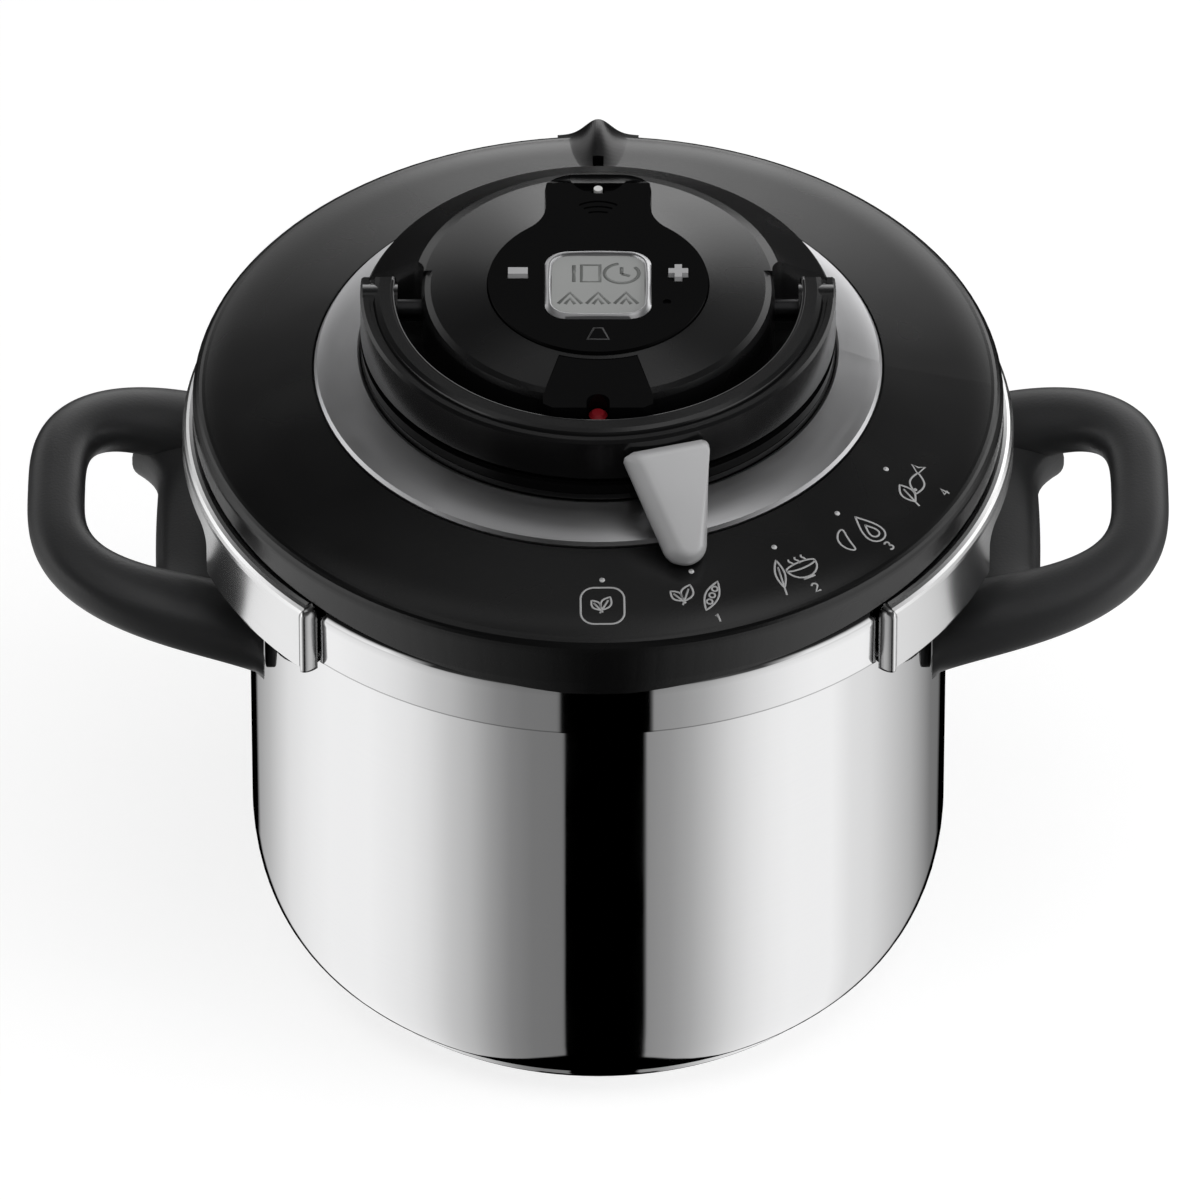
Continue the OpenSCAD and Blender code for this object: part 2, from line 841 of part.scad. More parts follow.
module valve_stem() {
  color("silver")
    translate([0, valve_y, dish_z + 3.3]) {
      cylinder(r1 = 1.5, r2 = 4.1, h = 2.6);
      translate([0, 0, 2.6 - eps])
        cylinder(r = 4.1, h = 2);
      translate([0, 0, 2])
        cylinder(d = stem_d, h = 16);
    }
}

module valve_spring() {
  color("silver")
    translate([0, valve_y, dish_z + 8.2])
      coil(3, 0.45, 13.5, 6);
}

module valve_cap() {
  low = dish_z + 12;
  color("goldenrod")
    translate([0, valve_y, low])
      difference() {
        cylinder(r = valve_r, h = 11.5);
        translate([0, 0, -1])
          cylinder(r = 4.5, h = 11);
        cylinder(d = stem_d + 0.4, h = 20);
      }
}

module steam_duct() {
  start = valve_y + valve_r + 0.2;
  end = cover_r - 12;
  color("dimgray")
    translate([0, 0, dish_z + 5])
      difference() {
        union() {
          translate([-6, start, 0])
            cube([12, end - start, 7]);
          translate([-6, end - 17, 0])
            cube([12, 17, 11]);
        }
        translate([-4.5, start - 1, 1.5])
          cube([9, end - 1.5 - start + 1, 4]);
        translate([-4.5, end - 15.5, 1.5])
          cube([9, 14, 20]);
      }
}

module safety_body() {
  color("goldenrod")
    translate([safety_x, safety_y, 0])
      difference() {
        union() {
          translate([0, 0, dish_z - lid_wall - 3])
            cylinder(r = safety_r, h = 3);
          translate([0, 0, dish_z - lid_wall - eps])
            cylinder(r = valve_bore, h = lid_wall + 2 * eps);
          translate([0, 0, dish_z])
            cylinder(r = safety_r, h = 12);
        }
        translate([0, 0, dish_z - 6])
          cylinder(d = 4, h = 14);
        translate([0, 0, dish_z + 1])
          cylinder(r = 3.6, h = 9);
        for (a = [0, 90])
          translate([0, 0, dish_z + 4])
            rotate([0, 90, a])
              translate([0, 0, -10])
                cylinder(d = 2, h = 20);
      }
}

module safety_ball() {
  color("silver")
    translate([safety_x, safety_y, dish_z + 3.4])
      sphere(r = 2.8, $fn = 48);
}

module safety_spring() {
  color("silver")
    translate([safety_x, safety_y, dish_z + 6.1])
      coil(2.4, 0.35, 3.8, 3);
}

// ---- jaws ----

module jaw_section() {
  w = jaw_wall;
  bend = jaw_round - w;
  polygon(concat(
    [[jaw_lip_r, jaw_z]],
    arc_points(jaw_r - 2, jaw_z + 2, 2, 2, -90, 0, 4),
    arc_points(jaw_r - jaw_round, jaw_top - jaw_round, jaw_round, jaw_round, 0, 90, 6),
    [[flange_r + 5, flange_z], [flange_r, flange_z], [flange_r, flange_z - w], [flange_r + 5.3, flange_z - w]],
    arc_points(jaw_r - jaw_round, jaw_top - jaw_round, bend, bend, 90, 0, 6),
    arc_points(jaw_r - 2, jaw_z + 2, 2 - w, 2 - w, 0, -90, 3),
    [[jaw_lip_r, jaw_z + w]]));
}

// Thin wall that closes the end of a jaw, clear of the lid skirt; it lies on the plane y = 0
module jaw_end() {
  w = jaw_wall / 2;
  inner = jaw_r - 7;
  difference() {
    rotate([90, 0, 0])
      linear_extrude(jaw_wall)
        polygon(concat(
          [[inner, jaw_z + w]],
          arc_points(jaw_r - 2, jaw_z + 2, 2 - w, 2 - w, -90, 0, 4),
          arc_points(jaw_r - jaw_round, jaw_top - jaw_round, jaw_round - w, jaw_round - w, 0, 90, 6),
          [[inner, jaw_top - w]]));
    cylinder(r = skirt_r + 0.9, h = 400);
  }
}

module jaw() {
  color("silver")
    difference() {
      union() {
        rotate([0, 0, -jaw_angle / 2])
          rotate_extrude(angle = jaw_angle, $fn = 128)
            jaw_section();
        for (s = [0, 1])
          mirror([0, s, 0])
            rotate([0, 0, jaw_angle / 2])
              jaw_end();
      }
      translate([flange_r - 12, 0, 0])
        rotate([90, 0, 90])
          linear_extrude(60) {
            translate([-notch_half, jaw_z - 10])
              square([2 * notch_half, notch_top - 6 - jaw_z + 10]);
            translate([-notch_half + 6, jaw_z])
              square([2 * notch_half - 12, notch_top - jaw_z]);
            for (s = [-1, 1])
              translate([s * (notch_half - 6), notch_top - 6])
                circle(6);
          }
      for (s = [0, 1])
        mirror([0, s, 0])
          rotate([0, 0, jaw_angle / 2])
            translate([jaw_r - 2.2, -2.2, jaw_z - 1])
              linear_extrude(60)
                difference() {
                  square(6);
                  circle(2.4);
                }
      for (y = [-rivet_y, rivet_y])
        translate([arm_end - 2.4, y, flange_z - 5])
          cylinder(d = rivet_d - 1.2 + 2 * fit, h = 10);
    }
}

module arm() {
  color("gray")
    difference() {
      union() {
        translate([column_r + 3, -arm_w / 2, flange_z])
          cube([arm_end - column_r - 3, arm_w, arm_t]);
        translate([pin_x - tab_t / 2, -tab_w / 2, flange_z])
          cube([tab_t, tab_w, bail_z - 0.5 - flange_z]);
        translate([pin_x, 0, bail_z - 0.5 - eps])
          cylinder(d = pin_d, h = hinge_z - cam_r + 3 - bail_z + 0.5);
      }
      for (y = [-rivet_y, rivet_y])
        translate([arm_end - 2.4, y, flange_z - 5])
          cylinder(d = rivet_d - 1.2 + 2 * fit, h = 10);
      translate([56, 0, flange_z - 1])
        linear_extrude(10) {
          circle(6);
          translate([28, 0])
            circle(6);
          translate([0, -6])
            square([28, 12]);
        }
    }
}

module rivets() {
  color("silver")
    for (y = [-rivet_y, rivet_y])
      translate([arm_end - 2.4, y, flange_z - jaw_wall]) {
        cylinder(d = rivet_d - 1.2, h = jaw_wall + arm_t + 0.5);
        translate([0, 0, jaw_wall + arm_t])
          cylinder(d1 = rivet_d + 1, d2 = rivet_d - 1, h = 1);
      }
}

module jaw_right() jaw();
module jaw_left() mirror([1, 0, 0]) jaw();
module arm_right() arm();
module arm_left() mirror([1, 0, 0]) arm();
module rivets_right() rivets();
module rivets_left() mirror([1, 0, 0]) rivets();

// ---- arch handle ----

module bail_section() {
  polygon([
    [bail_in, bail_z + 1.6], [bail_in + 1.4, bail_z], [drum_r - 1.6, bail_z], [drum_r, bail_z + 1.6],
    [drum_r, bail_z + bail_h - 1.6], [drum_r - 0.9, bail_z + bail_h - 0.7],
    [drum_r - 2.6, bail_z + bail_h - 0.7], [drum_r - 3.1, bail_z + bail_h - 1.7],
    [drum_r - 3.9, bail_z + bail_h - 1.7], [drum_r - 4.5, bail_z + bail_h - 0.5],
    [drum_r - 6, bail_z + bail_h], [bail_in + 1, bail_z + bail_h], [bail_in, bail_z + bail_h - 1]
  ]);
}

module bail() {
  extra = 5.5;
  color([0.12, 0.12, 0.12])
    difference() {
      union() {
        difference() {
          rotate([0, 0, 180 - extra])
            rotate_extrude(angle = 180 + 2 * extra)
              bail_section();
          translate([-100, 0, bail_z - 1])
            cube([200, 20, hinge_z - bail_z + 1]);
          difference() {
            translate([-100, 0, hinge_z - 1])
              cube([200, 20, 20]);
            translate([-101, 0, hinge_z])
              rotate([0, 90, 0])
                cylinder(r = heel_r, h = 202);
          }
        }
        for (s = [-1, 1])
          translate([0, 0, hinge_z])
            rotate([0, s * 90, 0])
              translate([0, 0, bail_in - 0.8])
                cylinder(r = hub_r, h = bail_w);
      }
      for (s = [-1, 1])
        translate([0, 0, hinge_z])
          rotate([0, s * 90, 0])
            translate([0, 0, bail_in - 2])
              cylinder(d = shaft_d + 2 * fit, h = 9.3);
    }
}

module cam() {
  steps = 8;
  difference() {
    translate([0, 0, hinge_z])
      rotate([0, 90, 0]) {
        translate([0, 0, cam_in])
          cylinder(r = cam_r, h = cam_len);
        translate([0, 0, cam_in + cam_len - 1])
          cylinder(d = shaft_d, h = bail_in + 7.2 - cam_in - cam_len + 1);
      }
    for (i = [0:steps])
      translate([pin_x + jaw_travel * i / steps, 0, hinge_z])
        rotate([90 * i / steps, 0, 0])
          translate([0, 0, -cam_r - 1])
            cylinder(d = pin_d + 1, h = 5);
  }
}

module bail_cams() {
  color("slategray") {
    cam();
    mirror([1, 0, 0])
      cam();
  }
}

// ---- program selector ----

module selector_collar() {
  color([0.08, 0.08, 0.08])
    translate([0, 0, collar_z])
      difference() {
        union() {
          cylinder(r = drum_r, h = collar_h);
          rotate([0, 0, lever_angle])
            intersection() {
              cylinder(r = lever_r - fit, h = collar_h - 0.8);
              translate([2.5 - lever_w / 2, -lever_r, 0])
                cube([lever_w - 5, 20, collar_h]);
            }
        }
        translate([0, 0, -1])
          cylinder(r = collar_in, h = collar_h + 2);
        translate([0, 0, collar_h - 0.8])
          difference() {
            cylinder(r = drum_r + 0.5, h = 2);
            cylinder(r = drum_r - 0.8, h = 2);
          }
      }
}

module selector_lever() {
  low = ring_top + 0.8;
  high = hinge_z + 7.1;
  tip_r = lever_tip_w / 2;
  tip_y = lever_reach - tip_r;
  tip_z = cover_top(lever_reach) + 5.6;
  plate = 7;
  color("lightgray")
    rotate([0, 0, lever_angle])
      difference() {
        union() {
          hull() {
            for (s = [-1, 1]) {
              translate([s * (lever_w / 2 - 2.6), -lever_r - 0.6, high - 2.6])
                sphere(r = 2.6, $fn = 24);
              translate([s * (lever_w / 2 - 1), -lever_r, high - plate])
                cylinder(r = 1, h = 1, $fn = 16);
            }
            translate([0, -tip_y, tip_z])
              cylinder(r1 = tip_r - 0.6, r2 = tip_r, h = 1, $fn = 32);
            translate([0, -tip_y + 1, tip_z + 2.4])
              cylinder(r1 = tip_r - 0.6, r2 = tip_r - 2.5, h = 1.6, $fn = 32);
          }
          translate([6 - lever_w / 2, -lever_r - 7, low])
            cube([lever_w - 12, 12, high - plate + 2 - low]);
        }
        cylinder(r = lever_r, h = high + 10);
        rotate_extrude()
          polygon([
            [ring_in - 4, ring_surface(ring_in - 4) + 0.7], [ring_r + 1, ring_surface(ring_r + 1) + 0.7],
            [lever_reach + 10, cover_top(lever_reach + 10) + 0.7], [lever_reach + 10, 0], [ring_in - 4, 0]
          ]);
      }
}

// ---- timer ----

// Outline of a button symbol, widened by a margin
module symbol(plus, grow) {
  square([button_w + 2 * grow, (plus ? 2.3 : 3.2) + 2 * grow], center = true);
  if (plus)
    square([2.3 + 2 * grow, button_w + 2 * grow], center = true);
}

module timer_case() {
  inside = -timer_step - timer_wall;
  roof = timer_top - timer_wall;
  color([0.04, 0.04, 0.04])
    difference() {
      union() {
        difference() {
          union() {
            translate([0, 0, plate_z])
              linear_extrude(timer_top - plate_z)
                timer_outline(0);
            translate([0, 0, timer_z])
              linear_extrude(plate_z - timer_z + 1)
                timer_outline(-timer_step);
          }
          translate([0, 0, timer_z - 1])
            linear_extrude(roof - timer_z + 1)
              intersection() {
                timer_outline(inside);
                translate([0, -5])
                  circle(r = 44);
              }
        }
        for (a = [55, 125, 270])
          rotate([0, 0, a])
            translate([post_r, 0, board_z + board_t])
              cylinder(d = 4.6, h = roof - board_z - board_t + 1);
      }
      translate([0, frame_y, board_z + board_t])
        linear_extrude(30)
          rounded_square(frame_w + 0.2, 7.1);
      for (s = [-1, 1])
        translate([s * button_x, button_y, roof - 1])
          linear_extrude(30)
            symbol(s > 0, 0.25);
      translate([21.6, -10, timer_top - 0.8])
        cylinder(d = 2.6, h = 5);
      translate([-30, 49.5, timer_top])
        rotate([-30, 0, 0])
          cube([60, 30, 20]);
      translate([0, 53, timer_top - 4.5])
        cylinder(r = 8.7, h = 20);
      translate([0, contact_y, timer_z - 1])
        cylinder(d = contact_d + 1.4, h = 30);
      for (j = [0:2])
        translate([0, 24 + 2.6 * j, timer_top - 0.5])
          intersection() {
            difference() {
              cylinder(r = 11.4, h = 2);
              translate([0, 0, -1])
                cylinder(r = 10.6, h = 4);
            }
            translate([-3 - 1.5 * j, 0, 0])
              cube([6 + 3 * j, 20, 2]);
          }
    }
}

module timer_back() {
  color([0.06, 0.06, 0.06])
    translate([0, 0, timer_z])
      difference() {
        linear_extrude(1.2)
          intersection() {
            timer_outline(-timer_step - timer_wall - 0.1);
            translate([0, -5])
              circle(r = 43.9);
          }
        translate([0, cell_y, -1])
          cylinder(d = 23, h = 4);
      }
}

module cell_door() {
  color([0.06, 0.06, 0.06])
    translate([0, cell_y, timer_z])
      difference() {
        cylinder(d = 22.6, h = 1.2);
        translate([-6, -0.6, -1])
          cube([12, 1.2, 1.5]);
      }
}

module timer_cell() {
  color("silver")
    translate([0, cell_y, timer_z + 1.2])
      cylinder(d = 20, h = 3.2);
}

module timer_board() {
  color("darkgreen")
    translate([0, 0, board_z])
      cylinder(r = timer_r - timer_step - timer_wall - 0.3, h = board_t);
}

module lcd_panel() {
  color("darkseagreen")
    translate([0, frame_y, board_z + board_t])
      linear_extrude(frame_z - board_z - board_t)
        rounded_square(window_w + 2, 5);
}

module timer_frame() {
  color("silver")
    translate([0, frame_y, frame_z])
      difference() {
        linear_extrude(frame_h)
          rounded_square(frame_w, 7);
        translate([0, 0, -1])
          linear_extrude(frame_h + 2)
            rounded_square(window_w, 5);
      }
}

module timer_lens() {
  color("lightsteelblue")
    translate([0, frame_y, frame_z])
      linear_extrude(1.3)
        rounded_square(window_w - 0.2, 4.9);
}

module sensor_pin() {
  floor_z = timer_z - timer_seat - 1.6;
  color("white")
    translate([0, contact_y, deck_z]) {
      cylinder(d = 4, h = floor_z - 0.2 - deck_z);
      cylinder(d = contact_d, h = timer_top - 2.6 - deck_z);
    }
}

module button(plus) {
  flange_top = timer_top - timer_wall - 0.1;
  color("lightgray")
    translate([0, button_y, 0]) {
      translate([0, 0, board_z + board_t + 0.7])
        cylinder(d = button_w + 1.8, h = flange_top - board_z - board_t - 0.7);
      translate([0, 0, flange_top - 1])
        linear_extrude(timer_top + 1.7 - flange_top + 1)
          symbol(plus, 0);
    }
}

module minus_button() translate([-button_x, 0, 0]) button(false);
module plus_button() translate([button_x, 0, 0]) button(true);

pot_body();
base_core();
base_tray();
handle_left();
handle_right();
bracket_left();
bracket_right();
handle_screws();
lid_dish();
lid_seal();
cover();
trim_ring();
cover_screws();
guide_plate();
column();
center_bolt();
center_nut();
drum_deck();
dome();
dome_screws();
pin_guard();
pin_bush();
valve_body();
valve_cap();
valve_spring();
valve_stem();
steam_duct();
safety_body();
safety_spring();
safety_ball();
red_pin();
jaw_left();
jaw_right();
arm_left();
arm_right();
rivets_left();
rivets_right();
bail();
bail_cams();
selector_collar();
selector_lever();
timer_case();
timer_back();
timer_board();
timer_cell();
cell_door();
lcd_panel();
timer_frame();
timer_lens();
sensor_pin();
minus_button();
plus_button();
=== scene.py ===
import json
import math

import bmesh
import bpy
import numpy as np
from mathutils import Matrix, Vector


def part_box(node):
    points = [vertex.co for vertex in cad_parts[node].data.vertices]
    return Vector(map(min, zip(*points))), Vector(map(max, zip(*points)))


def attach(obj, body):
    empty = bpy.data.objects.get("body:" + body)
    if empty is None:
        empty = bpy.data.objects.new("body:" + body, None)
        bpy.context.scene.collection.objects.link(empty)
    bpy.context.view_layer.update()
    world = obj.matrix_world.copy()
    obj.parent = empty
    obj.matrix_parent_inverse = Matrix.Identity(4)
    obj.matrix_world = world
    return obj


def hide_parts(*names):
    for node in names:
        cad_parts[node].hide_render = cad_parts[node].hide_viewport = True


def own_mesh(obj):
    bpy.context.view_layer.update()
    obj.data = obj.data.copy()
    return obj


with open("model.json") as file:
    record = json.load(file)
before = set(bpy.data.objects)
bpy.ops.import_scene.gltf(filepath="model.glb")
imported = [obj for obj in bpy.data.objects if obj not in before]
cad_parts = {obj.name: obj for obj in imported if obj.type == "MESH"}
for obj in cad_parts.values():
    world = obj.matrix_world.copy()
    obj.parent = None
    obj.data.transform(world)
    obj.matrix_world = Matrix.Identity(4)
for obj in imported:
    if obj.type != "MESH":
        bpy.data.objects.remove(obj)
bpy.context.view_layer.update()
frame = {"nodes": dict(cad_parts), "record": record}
nodes = frame["nodes"]
print("frame loaded:", len(nodes), "nodes")


# makes a shader node, sets its attributes, then sets or links each named input
def addNode(tree, kind, ins=None, **settings):
    node = tree.nodes.new(kind)
    for key, value in settings.items():
        setattr(node, key, value)
    for key, value in (ins or {}).items():
        fill(tree, node.inputs[key], value)
    return node


def fill(tree, socket, value):
    if isinstance(value, bpy.types.NodeSocket):
        tree.links.new(value, socket)
    else:
        socket.default_value = value


def mathNode(tree, operation, *values):
    node = addNode(tree, "ShaderNodeMath", operation=operation)
    for number, value in enumerate(values):
        fill(tree, node.inputs[number], value)
    return node.outputs[0]


def times(tree, first, second):
    return mathNode(tree, "MULTIPLY", first, second)


def grey(value):
    return value, value, value, 1


# colour ramp whose stops are (place, grey)
def rampNode(tree, factor, stops):
    node = addNode(tree, "ShaderNodeValToRGB", {"Fac": factor})
    ramp = node.color_ramp
    while len(ramp.elements) > 1:
        ramp.elements.remove(ramp.elements[-1])
    for number, (place, tone) in enumerate(stops):
        stop = ramp.elements[0] if number == 0 else ramp.elements.new(place)
        stop.position = place
        stop.color = grey(tone)
    return node.outputs[0]


def mixColor(tree, factor, first, second, blend="MIX"):
    node = addNode(tree, "ShaderNodeMix", data_type="RGBA", blend_type=blend)
    for number, value in ((0, factor), (6, first), (7, second)):
        fill(tree, node.inputs[number], value)
    return node.outputs[2]


def mapRange(tree, value, low, high, toLow, toHigh):
    return addNode(tree, "ShaderNodeMapRange", {"Value": value, "From Min": low, "From Max": high,
                                                "To Min": toLow, "To Max": toHigh}).outputs[0]


def splitUp(tree, vector):
    return addNode(tree, "ShaderNodeSeparateXYZ", {"Vector": vector}).outputs


# distance from the upright axis through the origin, from a split position
def axisDistance(tree, split):
    squares = mathNode(tree, "ADD", times(tree, split[0], split[0]), times(tree, split[1], split[1]))
    return mathNode(tree, "SQRT", squares)


# empty node group with float inputs and outputs
def effectGroup(name, inputs, outputs):
    group = bpy.data.node_groups.new(name, "ShaderNodeTree")
    for label, value in inputs:
        socket = group.interface.new_socket(label, in_out="INPUT", socket_type="NodeSocketFloat")
        socket.default_value = value
    for label in outputs:
        group.interface.new_socket(label, in_out="OUTPUT", socket_type="NodeSocketFloat")
    return group, group.nodes.new("NodeGroupInput"), group.nodes.new("NodeGroupOutput")


# moulded plastic skin: fine pits for the bump, a slow blotch for colour and roughness
def mouldedGrainGroup():
    group, start, end = effectGroup("mouldedGrain", [("Size", 900.0)], ["Height", "Blotch"])
    place = addNode(group, "ShaderNodeTexCoord").outputs["Object"]
    pits = addNode(group, "ShaderNodeTexNoise", {"Vector": place, "Scale": start.outputs["Size"], "Detail": 3.0})
    slow = addNode(group, "ShaderNodeTexNoise", {"Vector": place, "Scale": 22.0, "Detail": 2.0})
    group.links.new(pits.outputs[0], end.inputs["Height"])
    group.links.new(slow.outputs[0], end.inputs["Blotch"])
    return group


# traces of polishing round the upright axis: noise that is fine across radius and height
# and slow along the angle, with a second slow noise for wiping marks
def polishGroup():
    group, start, end = effectGroup("polishTraces", [("Fineness", 1400.0), ("Run", 3.0)],
                                    ["Height", "Streaks", "Wiping"])
    place = addNode(group, "ShaderNodeTexCoord").outputs["Object"]
    split = splitUp(group, place)
    angle = mathNode(group, "ARCTAN2", split[0], split[1])
    radius = axisDistance(group, split)
    across = times(group, mathNode(group, "ADD", radius, split[2]), start.outputs["Fineness"])
    run = start.outputs["Run"]
    around = addNode(group, "ShaderNodeCombineXYZ", {
        "X": times(group, mathNode(group, "SINE", angle), run),
        "Y": times(group, mathNode(group, "COSINE", angle), run), "Z": across}).outputs[0]
    streaks = addNode(group, "ShaderNodeTexNoise", {"Vector": around, "Scale": 1.0, "Detail": 4.0, "Roughness": 0.7})
    wiping = addNode(group, "ShaderNodeTexNoise", {"Vector": place, "Scale": 26.0, "Detail": 4.0, "Distortion": 0.6})
    for label, source in (("Height", streaks), ("Streaks", streaks), ("Wiping", wiping)):
        group.links.new(source.outputs[0], end.inputs[label])
    return group


# very flat crown of a moulded part, as a height over the radius: the slope starts at Slope,
# and from Edge outwards it falls with the square of the distance, by Drop over Width
def crownGroup():
    group, start, end = effectGroup("flatCrown", [("Slope", 0.1), ("Edge", 0.1), ("Width", 0.02), ("Drop", 0.3)],
                                    ["Height"])
    place = addNode(group, "ShaderNodeTexCoord").outputs["Object"]
    split = splitUp(group, place)
    radius = axisDistance(group, split)
    past = mathNode(group, "SUBTRACT", radius, start.outputs["Edge"])
    past = mathNode(group, "MAXIMUM", mathNode(group, "DIVIDE", past, start.outputs["Width"]), 0.0)
    cube = times(group, times(group, past, past), past)
    fall = times(group, cube, start.outputs["Drop"])
    fall = mathNode(group, "DIVIDE", times(group, fall, start.outputs["Width"]), 3.0)
    height = mathNode(group, "SUBTRACT", times(group, radius, start.outputs["Slope"]), fall)
    group.links.new(height, end.inputs["Height"])
    return group


mouldedGrain = mouldedGrainGroup()
polishTraces = polishGroup()
flatCrown = crownGroup()


def newMaterial(name):
    material = bpy.data.materials.new(name)
    material.use_nodes = True
    tree = material.node_tree
    tree.nodes.clear()
    surface = addNode(tree, "ShaderNodeBsdfPrincipled")
    addNode(tree, "ShaderNodeOutputMaterial", {"Surface": surface.outputs[0]})
    return material, tree, surface


# sets or links the shader's sockets; an underscore in a name stands for a space
def feed(tree, surface, **values):
    for key, value in values.items():
        fill(tree, surface.inputs[key.replace("_", " ")], value)


def bumpNode(tree, height, strength, distance, crown=None):
    bump = addNode(tree, "ShaderNodeBump", {"Height": height, "Strength": strength, "Distance": distance})
    if crown:
        curve = addNode(tree, "ShaderNodeGroup", {}, node_tree=flatCrown)
        for label, value in crown.items():
            curve.inputs[label].default_value = value
        under = addNode(tree, "ShaderNodeBump", {"Height": curve.outputs["Height"], "Strength": 1.0, "Distance": 1.0})
        tree.links.new(under.outputs[0], bump.inputs["Normal"])
    return bump.outputs[0]


def plasticMaterial(name, color, roughness, grain=900.0, bump=0.25, blotch=0.05, specular=0.5, crown=None):
    material, tree, surface = newMaterial(name)
    skin = addNode(tree, "ShaderNodeGroup", {}, node_tree=mouldedGrain)
    skin.inputs["Size"].default_value = grain
    light = tuple(min(1, c * 1.18) for c in color)
    dark = tuple(c * 0.86 for c in color)
    feed(tree, surface,
         Base_Color=mixColor(tree, skin.outputs["Blotch"], (*dark, 1), (*light, 1)),
         Roughness=mapRange(tree, skin.outputs["Blotch"], 0.3, 0.7, roughness - blotch, roughness + blotch),
         Specular_IOR_Level=specular,
         Normal=bumpNode(tree, skin.outputs["Height"], bump, 0.00012, crown))
    return material


def metalMaterial(name, color, roughness, fineness=1400.0, run=3.0, bump=0.05, spread=0.03, crown=None):
    material, tree, surface = newMaterial(name)
    traces = addNode(tree, "ShaderNodeGroup", {}, node_tree=polishTraces)
    traces.inputs["Fineness"].default_value = fineness
    traces.inputs["Run"].default_value = run
    dark = tuple(c * 0.94 for c in color)
    rough = mathNode(tree, "ADD", mapRange(tree, traces.outputs["Streaks"], 0.3, 0.7, 0.0, spread),
                     mapRange(tree, traces.outputs["Wiping"], 0.35, 0.75, roughness - spread / 2, roughness + spread))
    feed(tree, surface, Metallic=1.0, Roughness=rough,
         Base_Color=mixColor(tree, traces.outputs["Streaks"], (*dark, 1), (*color, 1)),
         Normal=bumpNode(tree, traces.outputs["Height"], bump, 0.00005, crown))
    return material


# the shared start of both steels: polish traces, and the split place and facing of the surface
def steelStart(name, fineness):
    material, tree, surface = newMaterial(name)
    traces = addNode(tree, "ShaderNodeGroup", {}, node_tree=polishTraces)
    traces.inputs["Fineness"].default_value = fineness
    where = addNode(tree, "ShaderNodeTexCoord").outputs
    return material, tree, surface, traces.outputs, splitUp(tree, where["Object"]), splitUp(tree, where["Normal"])


# how far a surface faces away from the upright axis, times its distance from it
def outwardness(tree, split, facing):
    return mathNode(tree, "ADD", times(tree, split[0], facing[0]), times(tree, split[1], facing[1]))


steelLook = {
    "color": (0.90, 0.90, 0.905), "polish": 0.03, "satin": 0.24,  # roughness outside and inside
    # the cooking side lies within this radius and faces inwards by at least this much; facing up counts a little
    "wallRadius": 0.1106, "inward": 0.005, "upShare": 0.02,
    "shoulder": (0.1865, 0.1925),  # heights of the lid's shoulder, which lies in shade
    "shade": [(0.0, 1.0), (0.35, 0.9), (0.62, 0.5), (0.85, 0.2), (1.0, 0.14)],
    "skirtRadius": 0.12, "foldTop": 0.1722, "fold": (0.2, 0.2, 0.2, 1), "foldShare": 0.55,  # painted shade along the fold under the skirt
}


# mirror steel outside, brushed steel on the cooking side; the way the surface faces tells them apart
def polishedSteel():
    look = steelLook
    material, tree, surface, traces, split, facing = steelStart("mirrorSteel", 2200.0)
    radius = axisDistance(tree, split)
    inward = mathNode(tree, "SUBTRACT", times(tree, facing[2], look["upShare"]), outwardness(tree, split, facing))
    inside = times(tree, mathNode(tree, "LESS_THAN", radius, look["wallRadius"]),
                   mathNode(tree, "GREATER_THAN", inward, look["inward"]))
    low, high = look["polish"], look["satin"]
    polish = mapRange(tree, traces["Wiping"], 0.35, 0.8, low, low + 0.03)
    satin = mapRange(tree, traces["Streaks"], 0.3, 0.7, high - 0.05, high + 0.06)
    outside = mathNode(tree, "SUBTRACT", 1.0, inside)
    rough = mathNode(tree, "ADD", times(tree, inside, satin), times(tree, outside, polish))
    color = look["color"]
    tone = mixColor(tree, traces["Streaks"], (*[c * 0.97 for c in color], 1), (*color, 1))
    # painted shade: the base colour darkens over the lid's shoulder, by height
    shade = rampNode(tree, mapRange(tree, split[2], *look["shoulder"], 0.0, 1.0), look["shade"])
    shaded = mixColor(tree, 1.0, tone, shade, "MULTIPLY")
    # painted shade: the folded lower edge of the lid's skirt, drawn as a thin darker line in the colour
    fold = times(tree, mathNode(tree, "GREATER_THAN", radius, look["skirtRadius"]),
                 mathNode(tree, "LESS_THAN", split[2], look["foldTop"]))
    feed(tree, surface, Metallic=1.0, Roughness=rough,
         Base_Color=mixColor(tree, times(tree, fold, look["foldShare"]), shaded, look["fold"]),
         Normal=bumpNode(tree, traces["Height"], 0.02, 0.00002))
    return material


jawLook = {
    "dark": (0.82, 0.82, 0.82, 1), "light": (0.88, 0.88, 0.885, 1), "roughness": (0.2, 0.26),
    # painted shade: brightness by how far a face turns outwards, from an end or inner face to the outer face
    "turned": (-0.02, 0.1315), "shade": [(0.0, 0.5), (0.08, 0.12), (0.2, 0.2), (0.35, 0.6), (0.6, 0.9), (1.0, 1.0)],
}


# jaws: pressed steel, a little duller than the pot, with painted shade that darkens the edges turning away from the
# face
def jawSteel():
    look = jawLook
    material, tree, surface, traces, split, facing = steelStart("jawSteel", 1800.0)
    shade = rampNode(tree, mapRange(tree, outwardness(tree, split, facing), *look["turned"], 0.0, 1.0), look["shade"])
    tone = mixColor(tree, traces["Streaks"], look["dark"], look["light"])
    feed(tree, surface, Metallic=1.0, Base_Color=mixColor(tree, 1.0, tone, shade, "MULTIPLY"),
         Roughness=mapRange(tree, traces["Wiping"], 0.35, 0.8, *look["roughness"]),
         Normal=bumpNode(tree, traces["Height"], 0.03, 0.00002))
    return material


